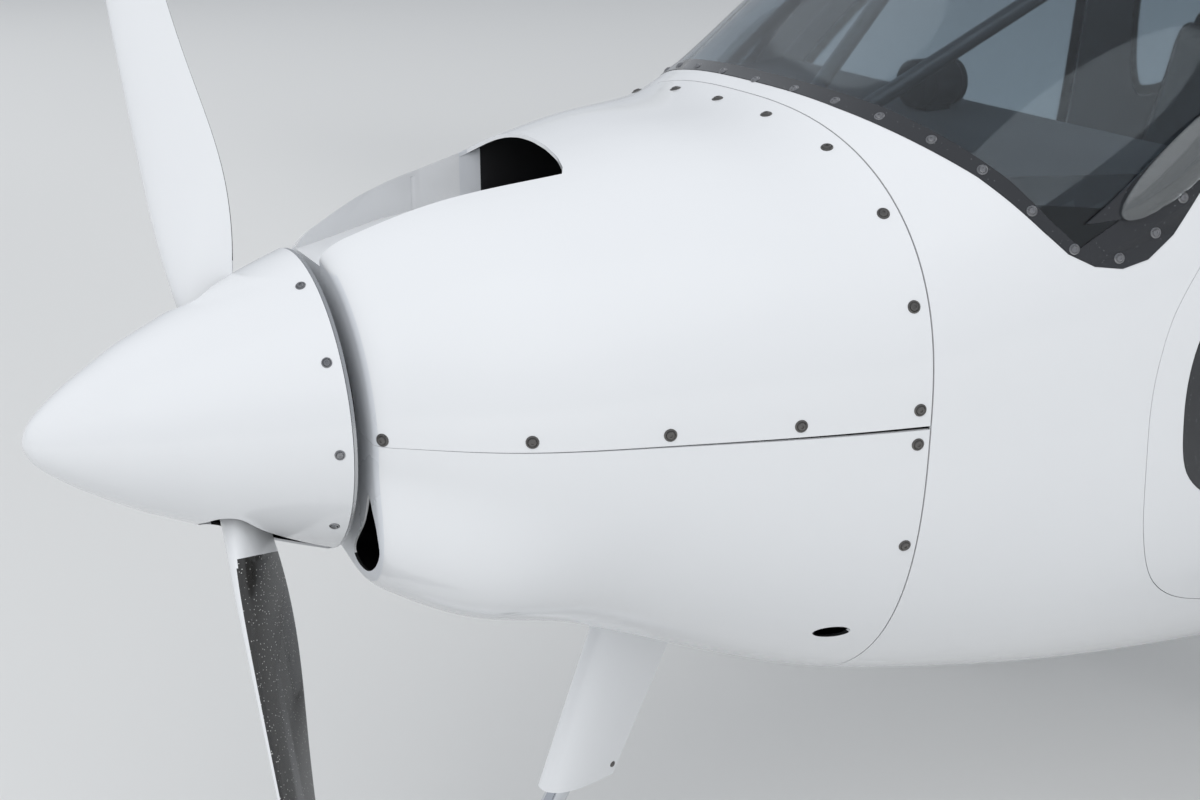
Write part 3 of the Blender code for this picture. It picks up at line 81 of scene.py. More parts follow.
def natural_spline(xs: np.ndarray, ys: np.ndarray, at: np.ndarray) -> np.ndarray:
    """Values of the natural cubic spline through points.

    Args:
        xs: Rising positions of the points.
        ys: Values there.
        at: Positions to read.

    Returns:
        The spline's values at those positions.
    """
    count = len(xs)
    step = np.diff(xs)
    system = np.eye(count)
    right = np.zeros(count)
    for i in range(1, count - 1):
        system[i, i - 1:i + 2] = step[i - 1], 2 * (step[i - 1] + step[i]), step[i]
        right[i] = 6 * ((ys[i + 1] - ys[i]) / step[i] - (ys[i] - ys[i - 1]) / step[i - 1])
    bend = np.linalg.solve(system, right)
    at = np.clip(at, xs[0], xs[-1])
    k = np.clip(np.searchsorted(xs, at) - 1, 0, count - 2)
    h = step[k]
    a, b = (xs[k + 1] - at) / h, (at - xs[k]) / h
    return (a * ys[k] + b * ys[k + 1]
            + ((a ** 3 - a) * bend[k] + (b ** 3 - b) * bend[k + 1]) * h * h / 6)


@dataclass(frozen=True)
class BodyForm:
    """Sections of the fuselage and cowling, the same as the solids follow."""

    rows: tuple[tuple[float, ...], ...] = (
        (0.338, 0.172, 0.172, -0.172, 0.00, 2.00, 2.00),
        (0.346, 0.188, 0.187, -0.187, 0.00, 2.00, 2.00),
        (0.365, 0.203, 0.198, -0.202, 0.00, 2.02, 2.02),
        (0.450, 0.262, 0.232, -0.255, 0.00, 2.15, 2.15),
        (0.600, 0.325, 0.266, -0.320, 0.00, 2.35, 2.30),
        (0.750, 0.375, 0.294, -0.380, 0.00, 2.50, 2.45),
        (0.908, 0.418, 0.316, -0.435, 0.00, 2.64, 2.60),
        (1.000, 0.440, 0.366, -0.456, 0.00, 2.68, 2.60),
        (1.100, 0.464, 0.440, -0.474, 0.00, 2.70, 2.60),
        (1.250, 0.500, 0.540, -0.496, 0.02, 2.75, 2.60),
        (1.500, 0.540, 0.672, -0.520, 0.05, 2.90, 2.60),
        (1.750, 0.558, 0.738, -0.540, 0.08, 3.10, 2.60),
        (2.050, 0.560, 0.758, -0.545, 0.09, 3.20, 2.60),
        (2.350, 0.548, 0.748, -0.530, 0.10, 3.10, 2.60),
        (2.700, 0.490, 0.700, -0.485, 0.10, 2.85, 2.50),
        (3.050, 0.405, 0.625, -0.425, 0.09, 2.60, 2.40),
        (3.450, 0.315, 0.535, -0.355, 0.08, 2.35, 2.30),
        (3.900, 0.242, 0.450, -0.290, 0.07, 2.20, 2.20),
        (4.500, 0.185, 0.365, -0.222, 0.06, 2.10, 2.10),
        (5.200, 0.140, 0.285, -0.168, 0.05, 2.00, 2.00),
        (5.700, 0.112, 0.235, -0.140, 0.04, 2.00, 2.00),
        (6.140, 0.085, 0.195, -0.118, 0.03, 2.00, 2.00),
    )
    lip: float = 0.365

    def values(self, stations: np.ndarray) -> np.ndarray:
        """Section values at stations, smooth behind the cowling's lip."""
        table = np.array(self.rows)
        low, high = table[:3], table[2:]
        made = np.empty((len(stations), 6))
        for column in range(6):
            smooth = natural_spline(high[:, 0], high[:, column + 1], stations)
            part = np.clip((stations - low[0, 0]) / (low[2, 0] - low[0, 0]), 0, 1) ** 0.55
            front = low[0, column + 1] + (low[2, column + 1] - low[0, column + 1]) * part
            made[:, column] = np.where(stations < self.lip, front, smooth)
        return made

    def grid(self, stations: Sequence[float], angles: Sequence[float], inset: float = 0.0,
             lift: Callable[[np.ndarray, np.ndarray], np.ndarray] | None = None) -> np.ndarray:
        """World points of the skin.

        Args:
            stations: Stations of the rows.
            angles: Section angles, 0 at the top, positive to port.
            inset: Depth below the skin.
            lift: Extra radial swell from stations and angles.

        Returns:
            Array of rows by columns by three.
        """
        s, t = np.asarray(stations, float), np.asarray(angles, float)
        half, top, bottom, middle, up, down = (v[:, None] for v in self.values(s).T)
        sine, cosine = np.sin(t)[None, :], np.cos(t)[None, :]
        power = np.where(cosine >= 0, up, down)
        reach = np.where(cosine >= 0, top - middle, middle - bottom)
        x = (half - inset) * np.sign(sine) * np.abs(sine) ** (2 / power)
        z = (reach - inset) * np.sign(cosine) * np.abs(cosine) ** (2 / power)
        if lift is not None:
            swell = lift(np.broadcast_to(s[:, None], x.shape), np.broadcast_to(t[None, :], x.shape))
            size = np.maximum(np.hypot(x, z), 1e-6)
            x, z = x * (1 + swell / size), z * (1 + swell / size)
        out = np.empty(x.shape + (3,))
        out[..., 0] = x
        out[..., 1] = NOSE_Y + s[:, None]
        out[..., 2] = AXIS_Z + middle + z
        return out

    def top_at(self, station: float, across: float, inset: float = 0.0) -> float:
        """Height of the upper skin over the axis at a point in plan."""
        half, top, _, middle, up, _ = self.values(np.array([station]))[0]
        part = min(abs(across) / (half - inset), 0.999)
        return middle + (top - middle - inset) * (1 - part ** up) ** (1 / up)

    def side_at(self, station: float, height: float, outset: float = 0.0) -> float:
        """Half width of the skin at a station and height."""
        half, top, bottom, middle, up, down = self.values(np.array([station]))[0]
        reach, power = (top - middle, up) if height >= middle else (middle - bottom, down)
        part = min(abs(height - middle) / (reach + outset), 0.999)
        return (half + outset) * (1 - part ** power) ** (1 / power)


FORM = BodyForm()


class Maker:
    """Mesh tools shared by the sub-assemblies."""

    @staticmethod
    def mesh(name: str, work: bmesh.types.BMesh, weld: float = 1e-6) -> bpy.types.Mesh:
        """Closed mesh from a bmesh, faces turned outward."""
        bmesh.ops.remove_doubles(work, verts=work.verts, dist=weld)
        bmesh.ops.recalc_face_normals(work, faces=work.faces)
        made = bpy.data.meshes.new(name)
        work.to_mesh(made)
        work.free()
        return made

    @staticmethod
    def link(name: str, mesh: bpy.types.Mesh, sharp: float = 32.0) -> bpy.types.Object:
        """Object in the scene with smooth faces and sharp edges past an angle."""
        made = bpy.data.objects.new(name, mesh)
        bpy.context.scene.collection.objects.link(made)
        for face in mesh.polygons:
            face.use_smooth = True
        mesh.set_sharp_from_angle(angle=math.radians(sharp))
        return made

    @staticmethod
    def solid(name: str, work: bmesh.types.BMesh, sharp: float = 32.0) -> bpy.types.Object:
        """Object in the scene from a closed bmesh."""
        return Maker.link(name, Maker.mesh(name, work), sharp)

    @staticmethod
    def work(points: np.ndarray, faces: list) -> bmesh.types.BMesh:
        """Bmesh of points and faces."""
        mesh = bpy.data.meshes.new("work")
        mesh.from_pydata(points.reshape(-1, 3).tolist(), [], faces)
        made = bmesh.new()
        made.from_mesh(mesh)
        bpy.data.meshes.remove(mesh)
        return made

    @staticmethod
    def shell(outer: np.ndarray, inner: np.ndarray, ring: bool = False) -> bmesh.types.BMesh:
        """Closed sheet between two grids of the same size.

        Args:
            outer: Outer surface, rows by columns by three.
            inner: Inner surface, the same size.
            ring: Whether the columns close on themselves.

        Returns:
            The bmesh of the closed sheet.
        """
        rows, columns = outer.shape[:2]
        flat = np.concatenate([outer.reshape(-1, 3), inner.reshape(-1, 3)])
        i, j = np.meshgrid(np.arange(rows - 1), np.arange(columns if ring else columns - 1), indexing="ij")
        k = (j + 1) % columns
        a, b, c, d = (n.ravel() for n in (i * columns + j, i * columns + k,
                                          (i + 1) * columns + k, (i + 1) * columns + j))
        shift = rows * columns
        faces = [np.stack([a, b, c, d], 1), np.stack([d, c, b, a], 1) + shift]
        across = np.arange(columns if ring else columns - 1)
        after = (across + 1) % columns
        for row in (0, rows - 1):
            e, f = row * columns + across, row * columns + after
            faces.append(np.stack([e, f, f + shift, e + shift], 1))
        if not ring:
            along = np.arange(rows - 1) * columns
            for column in (0, columns - 1):
                e, f = along + column, along + column + columns
                faces.append(np.stack([e, f, f + shift, e + shift], 1))
        return Maker.work(flat, np.concatenate(faces).tolist())

    @staticmethod
    def loft(rings: np.ndarray) -> bmesh.types.BMesh:
        """Closed body through rings of points."""
        rows, columns = rings.shape[:2]
        i, j = np.meshgrid(np.arange(rows - 1), np.arange(columns), indexing="ij")
        k = (j + 1) % columns
        faces = np.stack([(i * columns + j).ravel(), (i * columns + k).ravel(),
                          ((i + 1) * columns + k).ravel(), ((i + 1) * columns + j).ravel()], 1).tolist()
        faces.append(list(range(columns)))
        faces.append([(rows - 1) * columns + n for n in range(columns)])
        return Maker.work(rings, faces)

    @staticmethod
    def lathe(profile: Outline, centre: Vector, axis: Vector, steps: int = 64) -> bmesh.types.BMesh:
        """Turned body: a closed profile of radius and distance along the axis."""
        points = np.array(profile)
        angles = np.linspace(0, 2 * math.pi, steps, endpoint=False)
        ring = np.stack([points[None, :, 0] * np.cos(angles)[:, None],
                         points[None, :, 0] * np.sin(angles)[:, None],
                         np.broadcast_to(points[None, :, 1], (steps, len(points)))], -1)
        turn = Vector((0, 0, 1)).rotation_difference(axis).to_matrix().to_4x4()
        rows, columns = ring.shape[:2]
        i, j = np.meshgrid(np.arange(rows), np.arange(columns), indexing="ij")
        n, k = (i + 1) % rows, (j + 1) % columns
        keep = j.ravel() < (columns if points[0, 0] > 1e-6 or points[-1, 0] > 1e-6 else columns - 1)
        faces = np.stack([(i * columns + j).ravel(), (i * columns + k).ravel(),
                          (n * columns + k).ravel(), (n * columns + j).ravel()], 1)[keep]
        work = Maker.work(ring, faces.tolist())
        bmesh.ops.remove_doubles(work, verts=work.verts, dist=1e-6)
        bmesh.ops.dissolve_degenerate(work, edges=work.edges, dist=1e-7)
        bmesh.ops.transform(work, matrix=Matrix.Translation(centre) @ turn, verts=work.verts)
        return work

    @staticmethod
    def prism(outline: Outline, low: float, high: float, plane: str = "side") -> bmesh.types.BMesh:
        """Straight prism from an outline.

        Args:
            outline: Points: station and height (side), across and station (plan), across and height (end).
            low: Near end along the third direction.
            high: Far end.
            plane: "side", "plan" or "end".

        Returns:
            The bmesh of the closed prism.
        """
        pick = {"side": lambda u, v, w: place(u, v, w), "plan": lambda u, v, w: place(v, w, u),
                "end": lambda u, v, w: place(w, v, u)}[plane]
        return Maker.span([[pick(u, v, w) for u, v in outline] for w in (low, high)])

    @staticmethod
    def span(rings: Sequence[Sequence[Vector]]) -> bmesh.types.BMesh:
        """Closed body between two rings of points."""
        work = bmesh.new()
        ends = [[work.verts.new(point) for point in ring] for ring in rings]
        count = len(ends[0])
        for j in range(count):
            k = (j + 1) % count
            work.faces.new((ends[0][j], ends[0][k], ends[1][k], ends[1][j]))
        work.faces.new(ends[0])
        work.faces.new(ends[1])
        bmesh.ops.recalc_face_normals(work, faces=work.faces)
        return work

    @staticmethod
    def tube(points: Sequence[Vector], radius: float, sides: int = 16, smooth: int = 0) -> bmesh.types.BMesh:
        """Round tube along points, with closed ends."""
        path = [Vector(p) for p in points]
        for _ in range(smooth):
            finer = [path[0]]
            for one, two in zip(path, path[1:]):
                finer += [one.lerp(two, 0.25), one.lerp(two, 0.75)]
            path = finer + [path[-1]]
        rings = []
        up = Vector((0.0, 0.31, 0.95))
        for i, point in enumerate(path):
            run = (path[min(i + 1, len(path) - 1)] - path[max(i - 1, 0)]).normalized()
            side = run.cross(up if abs(run.dot(up)) < 0.95 else Vector((1, 0, 0))).normalized()
            lift = side.cross(run).normalized()
            rings.append([point + (side * math.cos(a) + lift * math.sin(a)) * radius
                          for a in np.linspace(0, 2 * math.pi, sides, endpoint=False)])
        return Maker.loft(np.array([[tuple(p) for p in ring] for ring in rings]))

    @staticmethod
    def cut(target: bpy.types.Object, work: bmesh.types.BMesh, operation: str = "DIFFERENCE") -> None:
        """Applied exact Boolean on an object."""
        mesh = Maker.mesh("cutter", work)
        other = bpy.data.objects.new("cutter", mesh)
        bpy.context.scene.collection.objects.link(other)
        step = target.modifiers.new("cut", "BOOLEAN")
        step.operation, step.solver, step.object = operation, "EXACT", other
        Maker.apply(target)
        bpy.data.objects.remove(other, do_unlink=True)
        bpy.data.meshes.remove(mesh)

    @staticmethod
    def apply(target: bpy.types.Object, sharp: float = 32.0) -> None:
        """Mesh with its modifiers made real."""
        bpy.context.view_layer.update()
        depsgraph = bpy.context.evaluated_depsgraph_get()
        shaped = bpy.data.meshes.new_from_object(target.evaluated_get(depsgraph))
        old = target.data
        target.modifiers.clear()
        target.data = shaped
        bpy.data.meshes.remove(old)
        for face in shaped.polygons:
            face.use_smooth = True
        shaped.set_sharp_from_angle(angle=math.radians(sharp))

    @staticmethod
    def outline(points: Outline, steps: int = 8) -> list[tuple[float, float]]:
        """Closed smooth outline through points."""
        made, count = [], len(points)
        for i in range(count):
            a, b, c, d = (points[(i + k) % count] for k in (-1, 0, 1, 2))
            for step in range(steps):
                t = step / steps
                made.append(tuple(0.5 * (2 * q + (r - p) * t + (2 * p - 5 * q + 4 * r - w) * t * t
                                         + (3 * q - p - 3 * r + w) * t ** 3)
                                  for p, q, r, w in zip(a, b, c, d)))
        return made

    @staticmethod
    def inset(outline: Outline, distance: float) -> list[tuple[float, float]]:
        """Outline moved inward by a distance."""
        count = len(outline)
        area = sum(outline[i][0] * outline[(i + 1) % count][1]
                   - outline[(i + 1) % count][0] * outline[i][1] for i in range(count))
        turn = 1.0 if area > 0 else -1.0
        made = []
        for i in range(count):
            before, here, after = (Vector(outline[(i + k) % count]) for k in (-1, 0, 1))
            one, two = (here - before).normalized(), (after - here).normalized()
            n_one, n_two = Vector((-one.y, one.x)) * turn, Vector((-two.y, two.x)) * turn
            mid = (n_one + n_two).normalized()
            made.append(tuple(here + mid * (distance / max(0.5, mid.dot(n_one)))))
        return made


def settle(piece: bpy.types.Object, body: str, slot: str, *nodes: str) -> bpy.types.Object:
    """A piece rides on its body and stands for its nodes."""
    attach(piece, body)
    if nodes:
        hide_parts(*nodes)
    LOG.info("%s on %s: %d faces", piece.name, body, len(piece.data.polygons))
    return piece


def join(name: str, parts: Sequence[bmesh.types.BMesh], sharp: float = 32.0) -> bpy.types.Object:
    """One object from several bodies."""
    whole = bmesh.new()
    for work in parts:
        bmesh.ops.recalc_face_normals(work, faces=work.faces)
        piece = bpy.data.meshes.new("part")
        work.to_mesh(piece)
        work.free()
        whole.from_mesh(piece)
        bpy.data.meshes.remove(piece)
    made = bpy.data.meshes.new(name)
    whole.to_mesh(made)
    whole.free()
    return Maker.link(name, made, sharp)


class Effects:
    """Shader node groups shared by the finishes."""

    def __init__(self) -> None:
        """Build the groups once."""
        self.film = self._film()
        self.specks = self._specks()

    @staticmethod
    def _start(name: str, inputs: dict[str, float], outputs: Sequence[str]) -> tuple:
        """Empty group with named float inputs and outputs."""
        group = bpy.data.node_groups.new(name, "ShaderNodeTree")
        for label, value in inputs.items():
            socket = group.interface.new_socket(name=label, in_out="INPUT", socket_type="NodeSocketFloat")
            socket.default_value = value
        for label in outputs:
            group.interface.new_socket(name=label, in_out="OUTPUT", socket_type="NodeSocketFloat")
        start = group.nodes.new("NodeGroupInput")
        end = group.nodes.new("NodeGroupOutput")
        return group, start, end

    def _film(self) -> bpy.types.NodeTree:
        """Dust film and fine ripple: soft cloud mask and a ripple height."""
        group, start, end = self._start("dust_film", {"Cloud Scale": 2.0, "Ripple Scale": 60.0},
                                        ("Cloud", "Ripple"))
        link = group.links.new
        where = group.nodes.new("ShaderNodeTexCoord")
        for label, source, detail in (("Cloud", "Cloud Scale", 5.0), ("Ripple", "Ripple Scale", 3.0)):
            noise = group.nodes.new("ShaderNodeTexNoise")
            noise.inputs["Detail"].default_value = detail
            link(where.outputs["Object"], noise.inputs["Vector"])
            link(start.outputs[source], noise.inputs["Scale"])
            link(noise.outputs["Fac"], end.inputs[label])
        return group

    def _specks(self) -> bpy.types.NodeTree:
        """Scattered small specks, such as dried splashes and stone marks."""
        group, start, end = self._start("specks", {"Scale": 220.0, "Size": 0.16, "Share": 0.35}, ("Mask",))
        link = group.links.new
        where = group.nodes.new("ShaderNodeTexCoord")
        cells = group.nodes.new("ShaderNodeTexVoronoi")
        cells.inputs["Randomness"].default_value = 1.0
        link(where.outputs["Object"], cells.inputs["Vector"])
        link(start.outputs["Scale"], cells.inputs["Scale"])
        close = group.nodes.new("ShaderNodeMath")
        close.operation = "LESS_THAN"
        link(cells.outputs["Distance"], close.inputs[0])
        link(start.outputs["Size"], close.inputs[1])
        patch = group.nodes.new("ShaderNodeTexNoise")
        patch.inputs["Scale"].default_value = 9.0
        patch.inputs["Detail"].default_value = 4.0
        link(where.outputs["Object"], patch.inputs["Vector"])
        some = group.nodes.new("ShaderNodeMath")
        some.operation = "LESS_THAN"
        split = group.nodes.new("ShaderNodeSeparateColor")
        link(cells.outputs["Color"], split.inputs["Color"])
        link(split.outputs["Red"], some.inputs[0])
        share = group.nodes.new("ShaderNodeMath")
        share.operation = "MULTIPLY"
        link(start.outputs["Share"], share.inputs[0])
        link(patch.outputs["Fac"], share.inputs[1])
        double = group.nodes.new("ShaderNodeMath")
        double.operation = "MULTIPLY"
        double.inputs[1].default_value = 2.0
        link(share.outputs[0], double.inputs[0])
        link(double.outputs[0], some.inputs[1])
        both = group.nodes.new("ShaderNodeMath")
        both.operation = "MULTIPLY"
        link(close.outputs[0], both.inputs[0])
        link(some.outputs[0], both.inputs[1])
        link(both.outputs[0], end.inputs["Mask"])
        return group


@dataclass(frozen=True)
class Finish:
    """A finish with a slightly uneven colour, gloss and surface."""

    name: str
    colour: Point
    shade: Point
    roughness: float
    rough_span: float = 0.05
    metallic: float = 0.0
    coat: float = 0.0
    cloud: float = 2.0
    ripple: float = 60.0
    bump: float = 0.02
    depth: float = 0.0002
    speck: float = 0.0
    speck_scale: float = 220.0
    speck_colour: Point = (0.6, 0.6, 0.58)
    sheen: float = 0.0
    transmission: float = 0.0
    alpha: float = 1.0
    ior: float = 1.5

    def build(self, effects: Effects) -> bpy.types.Material:
        """Material with its nodes.

        Args:
            effects: The shared node groups.

        Returns:
            The new material.
        """
        made = bpy.data.materials.new(self.name)
        made.use_nodes = True
        made.diffuse_color = (*self.colour, self.alpha)
        nodes, link = made.node_tree.nodes, made.node_tree.links.new
        shader = nodes["Principled BSDF"]
        film = nodes.new("ShaderNodeGroup")
        film.node_tree = effects.film
        for label, value in (("Cloud Scale", self.cloud), ("Ripple Scale", self.ripple)):
            film.inputs[label].default_value = value
        colour = nodes.new("ShaderNodeMix")
        colour.data_type = "RGBA"
        colour.inputs["A"].default_value = (*self.colour, 1.0)
        colour.inputs["B"].default_value = (*self.shade, 1.0)
        link(film.outputs["Cloud"], colour.inputs["Factor"])
        out = colour.outputs["Result"]
        if self.speck:
            specks = nodes.new("ShaderNodeGroup")
            specks.node_tree = effects.specks
            specks.inputs["Scale"].default_value = self.speck_scale
            specks.inputs["Share"].default_value = self.speck
            spotted = nodes.new("ShaderNodeMix")
            spotted.data_type = "RGBA"
            link(specks.outputs["Mask"], spotted.inputs["Factor"])
            link(out, spotted.inputs["A"])
            spotted.inputs["B"].default_value = (*self.speck_colour, 1.0)
            out = spotted.outputs["Result"]
        link(out, shader.inputs["Base Color"])
        rough = nodes.new("ShaderNodeMapRange")
        rough.inputs["From Min"].default_value = 0.3
        rough.inputs["From Max"].default_value = 0.7
        rough.inputs["To Min"].default_value = max(self.roughness - self.rough_span, 0.02)
        rough.inputs["To Max"].default_value = min(self.roughness + self.rough_span, 1.0)
        link(film.outputs["Cloud"], rough.inputs["Value"])
        link(rough.outputs["Result"], shader.inputs["Roughness"])
        bump = nodes.new("ShaderNodeBump")
        bump.inputs["Strength"].default_value = self.bump
        bump.inputs["Distance"].default_value = self.depth
        link(film.outputs["Ripple"], bump.inputs["Height"])
        link(bump.outputs["Normal"], shader.inputs["Normal"])
        shader.inputs["Metallic"].default_value = self.metallic
        shader.inputs["Coat Weight"].default_value = self.coat
        shader.inputs["Coat Roughness"].default_value = 0.04
        shader.inputs["Sheen Weight"].default_value = self.sheen
        shader.inputs["IOR"].default_value = self.ior
        shader.inputs["Transmission Weight"].default_value = self.transmission
        shader.inputs["Alpha"].default_value = self.alpha
        return made


class Palette:
    """All finishes of the aircraft."""

    TABLE = {
        "gelcoat": Finish("white_gelcoat", (0.80, 0.81, 0.82), (0.76, 0.77, 0.785), 0.20, 0.04, coat=0.6,
                          cloud=3.0, ripple=14.0, bump=0.05, depth=0.0006),
        # Painted shade: a blue-grey copy of the white gelcoat for the cowling's lip ring and the far duct
        # wall, which lie in shadow.
        "lip": Finish("grey_white_lip", (0.70, 0.72, 0.75), (0.62, 0.64, 0.67), 0.30, 0.06, cloud=8.0),
        "acrylic": Finish("smoked_acrylic", (0.50, 0.57, 0.62), (0.47, 0.54, 0.59), 0.03, 0.01,
                          transmission=1.0, ior=1.49, bump=0.0, cloud=1.5, coat=0.0),
        "clear": Finish("clear_acrylic", (0.72, 0.75, 0.76), (0.66, 0.69, 0.70), 0.05, 0.02,
                        transmission=0.9, ior=1.45, bump=0.0),
        "frame": Finish("black_frame_paint", (0.012, 0.013, 0.016), (0.03, 0.032, 0.036), 0.14, 0.05,
                        coat=0.5, speck=0.10, speck_scale=420.0, speck_colour=(0.22, 0.23, 0.24)),
        "blade_back": Finish("black_blade_paint", (0.014, 0.014, 0.015), (0.035, 0.033, 0.030), 0.20, 0.08,
                             coat=0.7, speck=0.95, speck_scale=240.0, speck_colour=(0.50, 0.50, 0.48)),
        # Painted shade: near-black on the inner faces of the cowling, the duct and the spinner, where shadow
        # falls.
        "inner_shade": Finish("dark_inside", (0.008, 0.008, 0.009), (0.016, 0.016, 0.017), 0.75, 0.1),
        "black": Finish("black_plastic", (0.018, 0.018, 0.020), (0.035, 0.035, 0.038), 0.42, 0.10,
                        ripple=420.0, bump=0.25, depth=0.0004),
        "shelf": Finish("glareshield_felt", (0.055, 0.055, 0.060), (0.085, 0.085, 0.090), 0.95, 0.04,
                        ripple=900.0, bump=0.5, depth=0.0006, sheen=0.3),
        "screw": Finish("screw_steel", (0.42, 0.42, 0.43), (0.24, 0.24, 0.25), 0.30, 0.12, metallic=1.0,
                        cloud=120.0),
        "screw_dark": Finish("blackened_screw", (0.13, 0.125, 0.12), (0.22, 0.21, 0.20), 0.38, 0.15,
                             metallic=0.9, cloud=160.0),
        "chrome": Finish("chromed_tube", (0.72, 0.74, 0.77), (0.62, 0.64, 0.67), 0.08, 0.04, metallic=1.0,
                         cloud=20.0),
        "aluminium": Finish("machined_aluminium", (0.62, 0.63, 0.64), (0.50, 0.51, 0.52), 0.30, 0.10,
                            metallic=1.0, cloud=30.0, ripple=300.0, bump=0.1),
        "steel": Finish("dark_painted_steel", (0.05, 0.055, 0.065), (0.08, 0.085, 0.095), 0.35, 0.08,
                        coat=0.3),
        "rubber": Finish("tyre_rubber", (0.020, 0.020, 0.021), (0.055, 0.052, 0.048), 0.80, 0.12,
                         cloud=9.0, ripple=240.0, bump=0.35, depth=0.0008),
        "fabric": Finish("seat_weave", (0.10, 0.105, 0.115), (0.15, 0.155, 0.165), 0.92, 0.05,
                         ripple=1100.0, bump=0.6, depth=0.0008, sheen=0.4),
        "leather": Finish("seat_side_leather", (0.035, 0.036, 0.040), (0.06, 0.061, 0.066), 0.52, 0.08,
                          ripple=260.0, bump=0.35, depth=0.0007),
        "panel": Finish("panel_grey", (0.075, 0.077, 0.082), (0.10, 0.102, 0.108), 0.58, 0.08,
                        ripple=500.0, bump=0.3, depth=0.0004),
        "interior": Finish("interior_grey", (0.33, 0.34, 0.35), (0.27, 0.28, 0.29), 0.70, 0.08,
                           ripple=500.0, bump=0.4, depth=0.0005),
        "red_lens": Finish("red_lamp_lens", (0.55, 0.015, 0.012), (0.42, 0.012, 0.01), 0.12, 0.03, coat=0.5),
        "green_lens": Finish("green_lamp_lens", (0.015, 0.35, 0.10), (0.012, 0.26, 0.08), 0.12, 0.03,
                             coat=0.5),
        "dial": Finish("dial_face", (0.015, 0.015, 0.017), (0.02, 0.02, 0.022), 0.35, 0.05, coat=0.8),
        "mark": Finish("dial_marks", (0.80, 0.80, 0.76), (0.72, 0.72, 0.68), 0.5, 0.05),
    }

    def __init__(self) -> None:
        """Build every finish once."""
        effects = Effects()
        self.made = {key: finish.build(effects) for key, finish in self.TABLE.items()}

    def dress(self, piece: bpy.types.Object, *keys: str) -> None:
        """Give a piece its materials in slot order."""
        piece.data.materials.clear()
        for key in keys:
            piece.data.materials.append(self.made[key])

    def redress(self, node: str, key: str) -> None:
        """Give a carried-over node its finish."""
        target = bpy.data.objects[node]
        for slot in target.material_slots:
            slot.material = self.made[key]


class Assembly:
    """A sub-assembly that dresses its pieces and puts them on their bodies."""

    def __init__(self, palette: Palette) -> None:
        """Keep the finishes."""
        self.palette = palette

    def put(self, piece: bpy.types.Object, keys: str, body: str, slot: str, *nodes: str) -> None:
        """Dress a piece, name its body, and let it stand for its nodes."""
        self.palette.dress(piece, *keys.split())
        settle(piece, body, slot, *nodes)


def around(low: float, high: float, count: int) -> np.ndarray:
    """Section angles in radians from degrees."""
    return np.radians(np.linspace(low, high, count))


def stations_between(low: float, high: float, step: float) -> np.ndarray:
    """Evenly spaced stations, ends included."""
    return np.linspace(low, high, max(int(round((high - low) / step)), 1) + 1)


@dataclass
class Studio:
    """Camera of the photograph, floor, light and world."""

    lens: float = 48.0
    spot: Point = (1.7207, -0.2007, 0.6440)
    azimuth: float = 62.1
    elevation: float = 20.1
    floor_colour: Point = (0.70, 0.70, 0.69)

    def camera(self) -> None:
        """Camera at the photograph's place."""
        data = bpy.data.cameras.new("photo_camera")
        data.sensor_width, data.lens = 36.0, self.lens
        data.clip_start, data.clip_end = 0.02, 200.0
        eye = bpy.data.objects.new("photo_camera", data)
        bpy.context.scene.collection.objects.link(eye)
        az, el = math.radians(self.azimuth), math.radians(self.elevation)
        back = Vector((math.sin(az) * math.cos(el), -math.cos(az) * math.cos(el), math.sin(el)))
        eye.location = place(self.spot[1], self.spot[2], self.spot[0])
        eye.rotation_euler = back.to_track_quat("Z", "Y").to_euler()
        bpy.context.scene.camera = eye

    def floor(self) -> None:
        """Wide pale floor."""
        work = bmesh.new()
        bmesh.ops.create_grid(work, x_segments=1, y_segments=1, size=60.0)
        mesh = bpy.data.meshes.new("floor")
        work.to_mesh(mesh)
        work.free()
        ground = bpy.data.objects.new("floor", mesh)
        bpy.context.scene.collection.objects.link(ground)
        made = bpy.data.materials.new("floor_pale")
        made.use_nodes = True
        shader = made.node_tree.nodes["Principled BSDF"]
        shader.inputs["Base Color"].default_value = (*self.floor_colour, 1.0)
        shader.inputs["Roughness"].default_value = 0.9
        mesh.materials.append(made)

    def light(self) -> None:
        """Large soft lamps and a pale world."""
        world = bpy.data.worlds.new("pale_world")
        bpy.context.scene.world = world
        world.use_nodes = True
        back = world.node_tree.nodes["Background"]
        back.inputs["Color"].default_value = (0.80, 0.84, 0.90, 1.0)
        back.inputs["Strength"].default_value = 0.62
        for name, spot, aim, size, power in (
                ("key", (8.0, -8.0, 11.0), (0.0, -1.5, 1.0), 15.0, 1250.0),
                ("fill", (-11.0, -7.0, 9.0), (0.0, -1.0, 1.0), 14.0, 520.0),
                ("rear", (3.0, 12.0, 10.0), (0.0, 1.5, 1.2), 14.0, 460.0)):
            data = bpy.data.lights.new(name, "AREA")
            data.shape, data.size, data.energy = "DISK", size, power
            lamp = bpy.data.objects.new(name, data)
            bpy.context.scene.collection.objects.link(lamp)
            lamp.location = spot
            lamp.visible_glossy = name == "rear"
            lamp.rotation_euler = (Vector(spot) - Vector(aim)).to_track_quat("Z", "Y").to_euler()
        bpy.context.scene.view_settings.view_transform = "Standard"


